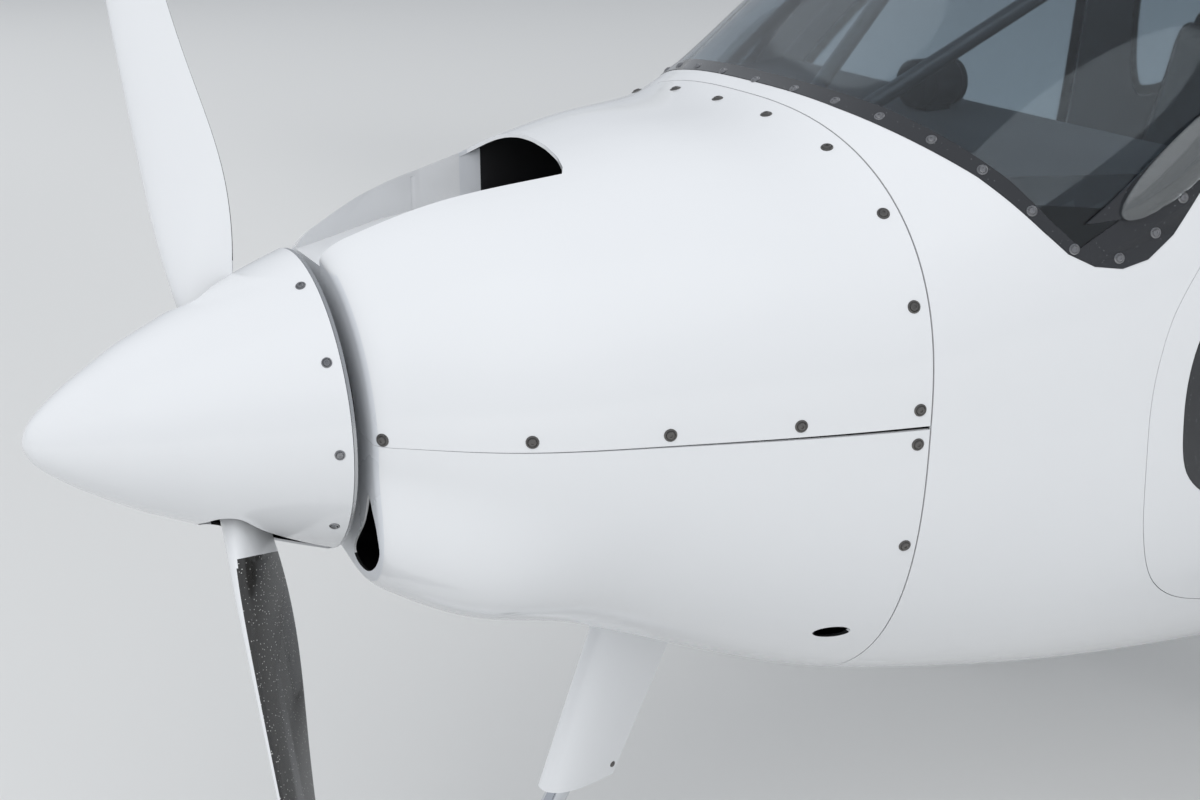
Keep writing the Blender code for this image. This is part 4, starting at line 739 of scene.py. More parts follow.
WINDSCREEN = ((0.926, 0.90), (0.926, 0.331), (0.937, 0.317), (0.965, 0.292), (0.997, 0.264),
              (1.021, 0.237), (1.045, 0.209), (1.069, 0.184), (1.098, 0.169), (1.130, 0.165),
              (1.160, 0.174), (1.190, 0.200), (1.222, 0.243), (1.300, 0.336), (1.410, 0.448),
              (1.520, 0.540), (1.615, 0.600), (1.615, 0.90))
BORDER = ((0.942, 0.90), (0.942, 0.343), (0.947, 0.338), (0.969, 0.322), (0.996, 0.294),
          (1.025, 0.262), (1.054, 0.221), (1.083, 0.190), (1.118, 0.211), (1.153, 0.233),
          (1.190, 0.254), (1.223, 0.280), (1.292, 0.364), (1.402, 0.477), (1.512, 0.569),
          (1.588, 0.620), (1.588, 0.90))
DOOR = ((1.178, -0.03), (1.184, 0.07), (1.212, 0.145), (1.285, 0.248), (1.430, 0.385),
        (1.570, 0.492), (1.670, 0.545), (1.820, 0.565), (1.980, 0.560), (2.056, 0.500),
        (2.078, 0.330), (2.066, 0.080), (2.010, -0.160), (1.930, -0.270), (1.800, -0.305),
        (1.560, -0.312), (1.360, -0.305), (1.255, -0.262), (1.200, -0.170))
DOOR_WINDOW = ((1.222, -0.02), (1.228, 0.070), (1.268, 0.152), (1.350, 0.248), (1.470, 0.358),
               (1.590, 0.448), (1.690, 0.494), (1.820, 0.510), (1.950, 0.502), (2.008, 0.450),
               (2.026, 0.310), (2.010, 0.090), (1.960, -0.070), (1.880, -0.130), (1.700, -0.148),
               (1.480, -0.150), (1.320, -0.140), (1.244, -0.100))
QUARTER_WINDOW = ((2.145, 0.440), (2.160, 0.180), (2.230, 0.130), (2.420, 0.200), (2.600, 0.330),
                  (2.640, 0.420), (2.560, 0.480), (2.320, 0.500), (2.190, 0.495))
SCOOP = ((0.0240, 0.330), (0.106, 0.605), (0.092, 0.613), (0.060, 0.622), (0.010, 0.631),
         (-0.040, 0.637), (-0.085, 0.640), (-0.125, 0.640), (-0.160, 0.637), (-0.184, 0.629),
         (-0.195, 0.617), (-0.197, 0.606), (-0.185, 0.545), (-0.150, 0.468), (-0.102, 0.400),
         (-0.054, 0.330))
DUCT = ((0.086, 0.530), (0.106, 0.605), (0.106, 0.810), (-0.197, 0.810), (-0.197, 0.636), (-0.197, 0.606),
        (-0.180, 0.530))
DUCT_BLOCK = ((0.0596, 0.341), (0.110, 0.605), (0.110, 0.800), (-0.201, 0.800), (-0.201, 0.604),
              (-0.190, 0.543), (-0.155, 0.465), (-0.108, 0.398), (-0.068, 0.341))
DUCT_FLOOR = 0.165


def ear_swell(s: np.ndarray, t: np.ndarray) -> np.ndarray:
    """Outward swell of the cowling around the ear inlets, fading aft."""
    turn = np.mod(t, 2 * math.pi)
    turn = np.degrees(np.minimum(turn, 2 * math.pi - turn))
    turn = np.clip((turn - 136.0) / 38.0, -1, 1)
    along = np.clip((s - 0.365) / (0.62 - 0.365), 0, 1)
    return 0.050 * np.cos(turn * math.pi / 2) ** 2 * np.cos(along * math.pi / 2) ** 2


def skin_sheet(name: str, stations: Sequence[float], angles: Sequence[float], wall: float,
               outset: float = 0.0, lift: Callable | None = None, ring: bool = False) -> bpy.types.Object:
    """Sheet that follows the body's skin.

    Args:
        name: Name of the piece.
        stations: Stations of the rows.
        angles: Section angles of the columns.
        wall: Thickness.
        outset: Height of its outer face over the skin.
        lift: Extra swell.
        ring: Whether the columns close.

    Returns:
        The sheet as an object.
    """
    outer = FORM.grid(stations, angles, -outset, lift)
    inner = FORM.grid(stations, angles, wall - outset, lift)
    work = Maker.shell(outer, inner, ring)
    bmesh.ops.recalc_face_normals(work, faces=work.faces)
    return Maker.solid(name, work)


def body_plug(stations: Sequence[float], outset: float, count: int = 96,
              lift: Callable | None = None) -> bmesh.types.BMesh:
    """Solid of the body's outer form, grown by outset."""
    angles = np.linspace(-math.pi, math.pi, count, endpoint=False)
    return Maker.loft(FORM.grid(stations, angles, -outset, lift))


class ScrewSet:
    """Round screws with cupped washers, gathered into one piece."""

    PROFILE = ((0.0, 0.0022), (0.0016, 0.0022), (0.0018, 0.0030), (0.0040, 0.0027), (0.0048, 0.0016),
               (0.0050, 0.0010), (0.0056, 0.0014), (0.0066, 0.0012), (0.0074, 0.0004), (0.0076, -0.0008),
               (0.0, -0.0008))

    def __init__(self, name: str, scale: float = 1.0) -> None:
        """Start an empty set."""
        self.name, self.scale, self.parts = name, scale, []

    def add(self, centre: Vector, normal: Vector) -> None:
        """One screw at a point of a surface."""
        profile = [(r * self.scale, h * self.scale) for r, h in self.PROFILE]
        self.parts.append(Maker.lathe(profile, Vector(centre), Vector(normal), 20))

    def on_skin(self, station: float, angle: float, outset: float = 0.0) -> None:
        """One screw on the body's skin."""
        step = 0.004
        grid = FORM.grid((station - step, station, station + step),
                         (angle - 0.01, angle, angle + 0.01), -outset,
                         ear_swell if station < FIREWALL else None)
        along = Vector(grid[2, 1] - grid[0, 1])
        round_it = Vector(grid[1, 2] - grid[1, 0])
        normal = round_it.cross(along).normalized()
        centre = Vector(grid[1, 1])
        middle = place(station, 0.0)
        if normal.dot(centre - middle) < 0:
            normal = -normal
        self.add(centre, normal)

    def build(self) -> bpy.types.Object:
        """All screws as one object."""
        return join(self.name, self.parts, 40.0)


def angle_where(station: float, high: float, before: Callable[[np.ndarray], bool]) -> float:
    """Section angle up to which a test of the skin's point holds."""
    low = 0.0
    for _ in range(40):
        middle = (low + high) / 2
        if before(FORM.grid((station,), (middle,))[0, 0]):
            low = middle
        else:
            high = middle
    return (low + high) / 2


def angle_at(station: float, height: float) -> float:
    """Section angle where the skin has a height, on the port side."""
    return angle_where(station, math.pi, lambda point: point[2] - AXIS_Z > height)


def angle_across(station: float, across: float) -> float:
    """Section angle on the top where the skin has a distance across."""
    return angle_where(station, math.pi / 2, lambda point: point[0] < across)


class Cowling(Assembly):
    """Upper and lower engine cowlings with the top scoop and the ear inlets."""

    EAR = ((0.152, -0.068), (0.161, -0.084), (0.173, -0.106), (0.176, -0.131), (0.161, -0.154),
           (0.134, -0.170), (0.105, -0.172), (0.089, -0.163), (0.094, -0.150), (0.109, -0.133),
           (0.127, -0.113), (0.140, -0.091))

    @staticmethod
    def rows() -> np.ndarray:
        """Stations, close together at the lip."""
        front = 0.338 + 0.027 * np.linspace(0, 1, 9) ** 2
        return np.concatenate([front, stations_between(0.365, FIREWALL - SEAM, 0.009)[1:]])

    def half(self, name: str, low: float, high: float) -> bpy.types.Object:
        """One half with a deep lip inside its front, darkened later by painted shade."""
        stations = self.rows()
        angles = around(low, high, 141)
        outer = FORM.grid(stations, angles, 0.0, ear_swell)
        inner = FORM.grid(stations, angles, 0.005, ear_swell)
        inner[:3] = FORM.grid(stations[:3], angles, 0.050)
        return Maker.solid(name, Maker.shell(outer, inner))

    def upper(self) -> None:
        """Upper cowling with the scoop's valley, mouth and duct."""
        piece = self.half("cowling_upper", -89.93, 89.93)
        stations = self.rows()
        block = Maker.solid("block", Maker.prism(DUCT_BLOCK, DUCT_FLOOR - 0.004, 0.5, "plan"))
        Maker.cut(block, body_plug(stations, -0.002, 120), "INTERSECT")
        Maker.cut(piece, self._take(block), "UNION")
        void = Maker.solid("void", Maker.prism(DUCT, DUCT_FLOOR, 0.5, "plan"))
        Maker.cut(void, body_plug(stations, -0.005, 120), "INTERSECT")
        Maker.cut(piece, self._take(void))
        Maker.cut(piece, Maker.prism(SCOOP, DUCT_FLOOR, 0.5, "plan"))
        # Slots two and three are painted shade: near-black inside, blue-grey on the lip.
        self.palette.dress(piece, "gelcoat", "inner_shade", "lip")
        self._paint_shade(piece)
        settle(piece, "airframe", "white_gelcoat", "cowl_upper")

    @staticmethod
    def _take(holder: bpy.types.Object) -> bmesh.types.BMesh:
        """The mesh of a helper, which is removed."""
        work = bmesh.new()
        mesh = holder.data
        work.from_mesh(mesh)
        bpy.data.objects.remove(holder, do_unlink=True)
        bpy.data.meshes.remove(mesh)
        return work

    @staticmethod
    def _mouth(x: float) -> float:
        """Station of the mouth's edge at a place across."""
        line = SCOOP[1:12]
        xs = [p[0] for p in line][::-1]
        ys = [p[1] for p in line][::-1]
        return float(np.interp(x, xs, ys))

    def _paint_shade(self, piece: bpy.types.Object) -> None:
        """Painted shade: blue-grey on the lip in front and on the far duct wall just behind the mouth,
        near-black on the duct and the inner faces.
        """
        for face in piece.data.polygons:
            c, n = face.center, face.normal
            s, z, x = c.y - NOSE_Y, c.z - AXIS_Z, c.x
            inward = (n.x * x + n.z * z) < -0.15 * math.hypot(x, z)
            scoop = -0.1985 < x < 0.1075 and z > DUCT_FLOOR - 0.0005 and s < 0.83
            if scoop and x < -0.19 and s < 0.634 and n.x > 0.5:
                face.material_index = 2 if s > 0.606 else 0
                continue
            if scoop and s < self._mouth(x) + 0.003:
                continue
            if s < 0.3412:
                face.material_index = 2 if n.y < -0.2 else 1 if inward or n.y > 0.2 else 0
            elif inward or n.y > 0.7:
                face.material_index = 1
            elif scoop and FORM.top_at(s, x) - z > 0.0035:
                face.material_index = 1
            elif z < DUCT_FLOOR - 0.0005 and abs(n.z) > 0.9 and abs(x) < 0.21 and z > 0.12:
                face.material_index = 1

    def lower(self) -> None:
        """Lower cowling with the ear inlets and oval outlets."""
        piece = self.half("cowling_lower", 90.07, 269.93)
        for side in Side:
            ring = [(side.value * x, z) for x, z in Maker.outline(self.EAR, 5)]
            Maker.cut(piece, Maker.prism(ring, 0.30, 0.39, "end"))
            oval = [(0.847 + 0.021 * math.cos(a), -0.280 + 0.010 * math.sin(a))
                    for a in np.linspace(0, 2 * math.pi, 40, endpoint=False)]
            span = (0.20, 0.60) if side is Side.LEFT else (-0.60, -0.20)
            Maker.cut(piece, Maker.prism(oval, *span, "side"))
        # Slots two and three are painted shade: near-black inside, blue-grey on the lip.
        self.palette.dress(piece, "gelcoat", "inner_shade", "lip")
        self._paint_shade(piece)
        settle(piece, "airframe", "white_gelcoat", "cowl_lower")

    def screws(self) -> None:
        """Screws of the split line, the firewall seam and the top."""
        screws = ScrewSet("cowling_screws")
        for sign in (1, -1):
            for station, height in ((0.345, 0.008), (0.481, 0.0125), (0.621, 0.0135), (0.760, 0.0145)):
                screws.on_skin(station, sign * angle_at(station, height))
            for across, station in ((0.108, 0.880), (0.225, 0.887), (0.331, 0.891)):
                screws.on_skin(station, sign * angle_across(station, across))
            for height, station in ((0.137, 0.891), (0.022, 0.894), (-0.019, 0.894), (-0.148, 0.894)):
                screws.on_skin(station, sign * angle_at(station, height))
        screws.on_skin(0.878, 0.0)
        made = screws.build()
        self.put(made, "screw_dark", "airframe", "aluminium")


class Shell(Assembly):
    """Fuselage skin, doors and glazing."""

    def skin(self) -> None:
        """Skin of the whole fuselage with its openings and its lining."""
        stations = np.concatenate([stations_between(FIREWALL + SEAM, 2.70, 0.022),
                                   stations_between(2.70, 6.14, 0.07)[1:]])
        angles = np.linspace(-math.pi, math.pi, 144, endpoint=False)
        piece = skin_sheet("fuselage_skin", stations, angles, 0.005, ring=True)
        Maker.cut(piece, Maker.prism(WINDSCREEN, -1.0, 1.0))
        for side in Side:
            span = (0.10, 0.80) if side is Side.LEFT else (-0.80, -0.10)
            Maker.cut(piece, Maker.prism(Maker.outline(DOOR), *span))
            Maker.cut(piece, Maker.prism(Maker.outline(QUARTER_WINDOW), *span))
        self.palette.dress(piece, "gelcoat", "interior")
        self._line(piece)
        settle(piece, "airframe", "white_gelcoat", "fuselage_left", "fuselage_right")
        cap = Maker.solid("tail_end_cap", self._cap())
        self.put(cap, "gelcoat", "airframe", "white_gelcoat")

    @staticmethod
    def _cap() -> bmesh.types.BMesh:
        """Plate that closes the tail end."""
        angles = np.linspace(-math.pi, math.pi, 72, endpoint=False)
        rings = [FORM.grid((6.132,), angles, 0.0052)[0], FORM.grid((6.139,), angles, 0.0052)[0],
                 FORM.grid((6.140,), angles, 0.010)[0]]
        rings[2][:, 1] = NOSE_Y + 6.1405
        return Maker.loft(np.array(rings))

    @staticmethod
    def _line(piece: bpy.types.Object) -> None:
        """Lining on the faces that look inward."""
        for face in piece.data.polygons:
            c, n = face.center, face.normal
            if n.x * c.x + n.z * (c.z - AXIS_Z - 0.05) < 0 and abs(n.y) < 0.95:
                face.material_index = 1

    def windscreen(self) -> None:
        """Smoked glass, its black border and the border's screws."""
        angles = around(-118, 118, 169)
        stations = stations_between(0.912, 1.64, 0.011)
        glass = skin_sheet("windscreen_glass", stations, angles, 0.0035)
        Maker.cut(glass, Maker.prism(Maker.inset(WINDSCREEN, 0.0006), -1.0, 1.0), "INTERSECT")
        self.put(glass, "acrylic", "airframe", "tinted_acrylic", "windscreen")
        border = skin_sheet("windscreen_border", stations, angles, 0.0012, 0.0007)
        Maker.cut(border, Maker.prism(Maker.inset(WINDSCREEN, 0.0006), -1.0, 1.0), "INTERSECT")
        Maker.cut(border, Maker.prism(BORDER, -1.1, 1.1))
        self.put(border, "frame", "airframe", "black_plastic")
        screws = ScrewSet("windscreen_screws", 0.85)
        for sign in (1, -1):
            for x in (0.082, 0.158, 0.228, 0.298, 0.357, 0.406):
                s = float(np.interp(x, (0, 0.082, 0.158, 0.228, 0.298, 0.357, 0.406),
                                    (0.934, 0.937, 0.944, 0.957, 0.978, 1.005, 1.038)))
                screws.on_skin(s, sign * angle_across(s, x), 0.0007)
            for s, z in ((1.076, 0.189), (1.126, 0.177), (1.169, 0.203), (1.203, 0.240), (1.258, 0.305),
                         (1.330, 0.382), (1.405, 0.458), (1.485, 0.527), (1.565, 0.586)):
                screws.on_skin(s, sign * angle_at(s, z), 0.0007)
        screws.on_skin(0.934, 0.0, 0.0007)
        made = screws.build()
        self.put(made, "screw", "airframe", "aluminium")

    def vents(self) -> None:
        """Clear air vent blister low on each side of the windscreen."""
        for side in Side:
            span = (0.10, 0.80) if side is Side.LEFT else (-0.80, -0.10)
            blade = ((1.090, 0.216), (1.120, 0.238), (1.175, 0.282), (1.240, 0.333), (1.300, 0.384),
                     (1.312, 0.372), (1.262, 0.322), (1.196, 0.262), (1.128, 0.220))
            plate = skin_sheet("vent_frame_" + side.label, stations_between(1.06, 1.34, 0.008),
                               side.value * around(30, 110, 81), 0.0020, 0.0042)
            Maker.cut(plate, Maker.prism(blade, *span), "INTERSECT")
            self.put(plate, "frame", "airframe", "black_plastic")

            def bump(s: np.ndarray, t: np.ndarray) -> np.ndarray:
                """Teardrop bulge along the vent."""
                z = FORM.grid(s[:, 0], np.abs(t[0]))[..., 2] - AXIS_Z
                along = (s - 1.210) * 0.775 + (z - 0.288) * 0.632
                over = -(s - 1.210) * 0.632 + (z - 0.288) * 0.775
                reach = np.clip(1 - (along / 0.110) ** 2 - (over / 0.030) ** 2, 0, 1)
                return 0.020 * reach ** 0.6
            drop = skin_sheet("vent_blister_" + side.label, stations_between(1.08, 1.34, 0.005),
                              side.value * around(30, 110, 141), 0.0022, 0.0048, bump)
            round_it = [(1.210 + 0.775 * 0.104 * math.cos(a) - 0.632 * 0.026 * math.sin(a),
                         0.288 + 0.632 * 0.104 * math.cos(a) + 0.775 * 0.026 * math.sin(a))
                        for a in np.linspace(0, 2 * math.pi, 48, endpoint=False)]
            Maker.cut(drop, Maker.prism(round_it, *span), "INTERSECT")
            self.put(drop, "clear", "airframe", "tinted_acrylic")

    def doors(self) -> None:
        """Gull-wing doors with smoked windows and black edges, and the windows behind."""
        rows = stations_between(1.10, 2.14, 0.014)
        ring, pane = Maker.outline(DOOR), Maker.outline(DOOR_WINDOW)
        for side in Side:
            span = (0.10, 0.80) if side is Side.LEFT else (-0.80, -0.10)
            angles = side.value * around(12, 140, 150)
            leaf = skin_sheet("door_skin_" + side.label, rows, angles, 0.006)
            Maker.cut(leaf, Maker.prism(Maker.inset(ring, 0.0008), *span), "INTERSECT")
            Maker.cut(leaf, Maker.prism(pane, *span))
            self.palette.dress(leaf, "gelcoat", "interior")
            self._line(leaf)
            body = "door_" + side.label
            settle(leaf, body, "white_gelcoat", "door_" + side.label)
            glass = skin_sheet("door_glass_" + side.label, rows, angles, 0.0035)
            Maker.cut(glass, Maker.prism(Maker.inset(pane, 0.0004), *span), "INTERSECT")
            self.put(glass, "acrylic", body, "tinted_acrylic", "door_window_" + side.label)
            edge = skin_sheet("door_glass_edge_" + side.label, rows, angles, 0.0012, 0.0007)
            Maker.cut(edge, Maker.prism(Maker.inset(pane, 0.0004), *span), "INTERSECT")
            Maker.cut(edge, Maker.prism(Maker.inset(pane, 0.024), *span))
            self.put(edge, "frame", body, "black_plastic")
            self._latch(side, body)
            self._quarter(side, span)

    def _latch(self, side: Side, body: str) -> None:
        """Recessed latch handle low on the door."""
        angle = side.value * angle_at(1.62, -0.215)
        grid = FORM.grid((1.58, 1.66), (angle - 0.03 * side.value, angle + 0.03 * side.value))
        centre = Vector(grid.reshape(4, 3).mean(axis=0))
        across = Vector((side.value, 0, -0.35)).normalized()
        plate = Maker.lathe(((0.0, 0.001), (0.026, 0.001), (0.030, 0.0), (0.030, -0.004), (0.0, -0.004)),
                            centre + across * 0.002, across, 40)
        bar = Maker.tube((centre + across * 0.004 + Vector((0, -0.02, 0)),
                          centre + across * 0.010 + Vector((0, 0.02, 0.0)),
                          centre + across * 0.010 + Vector((0, 0.055, 0.0))), 0.0055, 14, 2)
        made = join("door_latch_" + side.label, [plate, bar])
        self.put(made, "black", body, "black_plastic")

    def _quarter(self, side: Side, span: tuple[float, float]) -> None:
        """Window behind the door."""
        outline = Maker.outline(QUARTER_WINDOW)
        rows, angles = stations_between(2.08, 2.72, 0.014), side.value * around(12, 100, 100)
        glass = skin_sheet("quarter_glass_" + side.label, rows, angles, 0.0035)
        Maker.cut(glass, Maker.prism(Maker.inset(outline, 0.0004), *span), "INTERSECT")
        self.put(glass, "acrylic", "airframe", "tinted_acrylic", "quarter_window_" + side.label)
        edge = skin_sheet("quarter_edge_" + side.label, rows, angles, 0.0012, 0.0007)
        Maker.cut(edge, Maker.prism(Maker.inset(outline, 0.0004), *span), "INTERSECT")
        Maker.cut(edge, Maker.prism(Maker.inset(outline, 0.020), *span))
        self.put(edge, "frame", "airframe", "black_plastic")


class Propeller(Assembly):
    """Spinner with its slots, hub and the two blades."""

    LEAN = math.radians(-26.0)
    CENTRE = 0.225
    TIP, HUB = 0.80, 0.0553
    PROFILE = ((0.0, 0.0), (0.0064, 0.053), (0.019, 0.100), (0.038, 0.143), (0.070, 0.198),
               (0.114, 0.260), (0.175, 0.337), (0.254, 0.422), (0.349, 0.520), (0.476, 0.624),
               (0.635, 0.750), (0.794, 0.865), (1.0, 1.0))
    TABLE = ((0.0000, 0.046, 0.046, 60.0, 0.0), (0.0734, 0.058, 0.042, 53.0, 0.0),
             (0.1270, 0.076, 0.034, 50.3, 0.002), (0.2010, 0.097, 0.027, 47.1, 0.004),
             (0.2850, 0.107, 0.022, 44.3, 0.004), (0.4630, 0.096, 0.015, 39.9, -0.007),
             (0.6640, 0.082, 0.011, 35.0, -0.018), (0.8660, 0.070, 0.008, 31.0, -0.020),
             (0.9600, 0.054, 0.007, 29.5, -0.019), (1.0000, 0.026, 0.004, 29.0, -0.018))
    SLOT = ((0.1695, 0.0), (0.1715, 0.010), (0.175, 0.020), (0.179, 0.030), (0.184, 0.038), (0.191, 0.045),
            (0.199, 0.0495), (0.207, 0.0505), (0.215, 0.047), (0.223, 0.0415), (0.232, 0.036),
            (0.245, 0.030), (0.261, 0.024), (0.278, 0.018), (0.297, 0.0135), (0.330, 0.0115))

    def radius(self, along: np.ndarray) -> np.ndarray:
        """Radius of the spinner at stations."""
        table = np.array(self.PROFILE)
        root = np.sqrt(np.clip(np.asarray(along) / 0.315, 0, 1))
        return 0.178 * natural_spline(np.sqrt(table[:, 0]), table[:, 1], root)

    def slot(self, turn: float) -> bmesh.types.BMesh:
        """Cutter for a blade's slot: round at the blade, a narrow slit behind it."""
        table = np.array(self.SLOT)
        run = np.concatenate([[0.0], np.cumsum(np.hypot(*np.diff(table, axis=0).T))])
        at = np.linspace(0, run[-1], 60)
        stations, half = natural_spline(run, table[:, 0], at), natural_spline(run, table[:, 1], at)
        ring = list(zip(half, stations)) + [(-h, v) for h, v in zip(half[:0:-1], stations[:0:-1])]
        side, up = Vector((math.cos(turn), 0, -math.sin(turn))), Vector((math.sin(turn), 0, math.cos(turn)))
        return Maker.span([[place(v, 0.0) + side * float(u) + up * w for u, v in ring] for w in (0.05, 0.25)])

    def spinner(self) -> None:
        """Spinner shell with its slots, its rear plate and rim screws."""
        along = 0.315 * np.linspace(0, 1, 60) ** 1.8
        outer = list(zip(self.radius(along), along))
        inner = [(max(r - 0.0028, 0.0), s + 0.0016 * (1 - s / 0.315)) for r, s in reversed(outer[8:])]
        piece = Maker.solid("spinner_shell", Maker.lathe(
            outer + inner + [(0.0, 0.009)], place(0.0, 0.0), Vector((0, 1, 0)), 144))
        for turn in (self.LEAN, self.LEAN + math.pi):
            Maker.cut(piece, self.slot(turn))
        # Second slot is painted shade: near-black on the inner faces, so the slots read dark.
        self.palette.dress(piece, "gelcoat", "inner_shade")
        for face in piece.data.polygons:
            c, n = face.center, face.normal
            if n.x * c.x + n.z * (c.z - AXIS_Z) < -0.3 * math.hypot(c.x, c.z - AXIS_Z):
                face.material_index = 1
        settle(piece, "propeller", "white_gelcoat", "spinner")
        plate = Maker.solid("spinner_rear_plate", Maker.lathe(
            ((0.0553, 0.3155), (0.1772, 0.3155), (0.1778, 0.3160), (0.1778, 0.3192), (0.1772, 0.3198),
             (0.130, 0.3198), (0.128, 0.3185), (0.070, 0.3185), (0.068, 0.3198), (0.0553, 0.3198)),
            place(0.0, 0.0), Vector((0, 1, 0)), 120))
        self.put(plate, "aluminium", "propeller", "aluminium", "spinner_backplate")
        screws = ScrewSet("spinner_screws", 0.80)
        slope = (self.radius(np.array([0.303]))[0] - self.radius(np.array([0.299]))[0]) / 0.004
        for degrees in (24, 58, 92, 127, 204, 238, 272, 307):
            a = math.radians(degrees)
            outward = Vector((math.sin(a), 0, math.cos(a)))
            r = float(self.radius(np.array([0.301]))[0])
            screws.add(place(0.301, 0.0) + outward * r, (outward - Vector((0, slope, 0))).normalized())
        made = screws.build()
        self.put(made, "screw", "propeller", "aluminium")

    def section(self, radius: float, chord: float, thick: float, pitch: float, shift: float,
                turn: float) -> np.ndarray:
        """Section of a blade, round at the hub and an airfoil outside the spinner."""
        x = (1 - np.cos(np.linspace(0, math.pi, 27))) / 2
        half = 5 * (0.2969 * np.sqrt(x) - 0.1260 * x - 0.3516 * x ** 2 + 0.2843 * x ** 3
                    - 0.1015 * x ** 4) + 0.035 * x
        u = np.concatenate([x[::-1] - 0.5, x[1:-1] - 0.5])
        v = np.concatenate([half[::-1] * 1.178, -half[1:-1] * 0.682])
        blend = np.clip((radius - 0.065) / 0.05, 0, 1)
        blend = blend * blend * (3 - 2 * blend)
        turn_u = np.arccos(np.clip(2 * (x - 0.5), -1, 1))
        angle = np.concatenate([turn_u[::-1], -turn_u[1:-1]])
        cu, cv = 0.5 * np.cos(angle), 0.5 * np.sin(angle)
        along_u = (u * blend + cu * (1 - blend)) * chord + shift
        along_v = v * thick * blend + cv * (1 - blend) * chord
        lean = math.radians(pitch)
        tangent = along_u * math.cos(lean) + along_v * math.sin(lean)
        fore = along_u * math.sin(lean) - along_v * math.cos(lean)
        return np.stack([tangent * math.cos(turn) + radius * math.sin(turn),
                         NOSE_Y + self.CENTRE + fore,
                         AXIS_Z + radius * math.cos(turn) - tangent * math.sin(turn)], 1)

    def blade(self, label: str, turn: float) -> None:
        """One blade: white front wrapping the leading edge, black rear past the cuff."""
        table = np.array(self.TABLE)
        cuff = (0.168 - self.HUB) / (self.TIP - self.HUB)
        shares = np.concatenate([np.linspace(0, cuff, 20), np.linspace(cuff, 0.95, 60)[1:],
                                 1 - 0.05 * (1 - np.linspace(0, 1, 12)[1:]) ** 2])
        chords, thicks, pitches, shifts = (natural_spline(table[:, 0], table[:, c], shares)
                                           for c in range(1, 5))
        tip = np.clip((1 - shares) / 0.05, 0.0, 1.0)
        near = float(np.interp(0.95, shares, chords))
        chords = np.where(shares > 0.95, near * np.maximum(1 - (1 - tip) ** 2.4, 0.12) ** 0.5, chords)
        rings = [self.section(self.HUB + share * (self.TIP - self.HUB), *values, turn)
                 for share, *values in zip(shares, chords, thicks, pitches, shifts)]
        name = "blade_" + label + "_body"
        piece = Maker.solid(name, Maker.loft(np.array(rings)), 50.0)
        self.palette.dress(piece, "gelcoat", "blade_back")
        side = Vector((math.cos(turn), 0, -math.sin(turn)))
        up = Vector((math.sin(turn), 0, math.cos(turn)))
        heart = place(self.CENTRE, 0.0)
        for face in piece.data.polygons:
            away = face.center - heart
            radius = away.dot(up)
            share = (radius - self.HUB) / (self.TIP - self.HUB)
            chord, pitch, shift = (float(np.interp(share, shares, values))
                                   for values in (chords, pitches, shifts))
            lean = math.radians(pitch)
            behind = away.dot(side) * math.cos(lean) + away.y * math.sin(lean) - shift + chord / 2
            facing = face.normal.dot(side * math.sin(lean) - Vector((0, math.cos(lean), 0)))
            if radius > 0.168 and (facing < -0.02 or (facing < 0.30 and behind < 0.02)) and behind > 0.0008:
                face.material_index = 1
        settle(piece, "propeller", "white_gelcoat", "blade_" + label)

    def hub(self) -> None:
        """Hub with clamp bolts, seen through the slots."""
        body = Maker.lathe(((0.0, 0.170), (0.046, 0.170), (0.0545, 0.178), (0.0545, 0.232), (0.050, 0.236),
                            (0.050, 0.286), (0.0545, 0.290), (0.0545, 0.323), (0.0, 0.323)),
                           place(0.0, 0.0), Vector((0, 1, 0)), 64)
        bolts = [Maker.lathe(((0.0, 0.0), (0.007, 0.0), (0.007, 0.006), (0.0, 0.006)),
                             place(0.1645, 0.036 * math.cos(a), 0.036 * math.sin(a)), Vector((0, 1, 0)), 6)
                 for a in np.linspace(0, 2 * math.pi, 6, endpoint=False)]
        made = join("propeller_hub", [body] + bolts)
        self.put(made, "aluminium", "propeller", "aluminium", "prop_hub")

    def build(self) -> None:
        """The whole propeller."""
        self.spinner()
        self.blade("upper", self.LEAN)
        self.blade("lower", self.LEAN + math.pi)
        self.hub()


def steady(table: Sequence[Sequence[float]], column: int, at: float) -> float:
    """Smooth value of a table column that never overshoots its rows."""
    last = len(table) - 1
    if at <= table[0][0]:
        return table[0][column]
    if at >= table[last][0]:
        return table[last][column]
    index = max(i for i in range(last) if table[i][0] <= at)

    def slope(i: int) -> float | None:
        """Slope at a row, level where the table turns."""
        if i in (0, last):
            return None
        before = (table[i][column] - table[i - 1][column]) / (table[i][0] - table[i - 1][0])
        after = (table[i + 1][column] - table[i][column]) / (table[i + 1][0] - table[i][0])
        return 0.0 if before * after <= 0 else 2 * before * after / (before + after)

    x0, x1 = table[index][0], table[index + 1][0]
    y0, y1 = table[index][column], table[index + 1][column]
    width = x1 - x0
    chord = (y1 - y0) / width
    m0, m1 = slope(index), slope(index + 1)
    m0, m1 = chord if m0 is None else m0, chord if m1 is None else m1
    t = (at - x0) / width
    return (y0 * (2 * t ** 3 - 3 * t * t + 1) + m0 * width * (t ** 3 - 2 * t * t + t)
            + y1 * (3 * t * t - 2 * t ** 3) + m1 * width * (t ** 3 - t * t))


def airfoil(ratio: float, camber: float, u: np.ndarray) -> tuple[np.ndarray, np.ndarray]:
    """Half thickness and camber height of a section at chord fractions."""
    u = np.asarray(u, float)
    half = 5 * ratio * (0.2969 * np.sqrt(u) - 0.1260 * u - 0.3516 * u ** 2 + 0.2843 * u ** 3
                        - 0.1015 * u ** 4)
    peak = 0.4
    bow = np.where(u < peak, camber * (2 * peak * u - u * u) / peak ** 2,
                   camber * (1 - 2 * peak + 2 * peak * u - u * u) / (1 - peak) ** 2)
    return half, bow


LUG_HALF, SLOT_HALF = 0.003, 0.0036


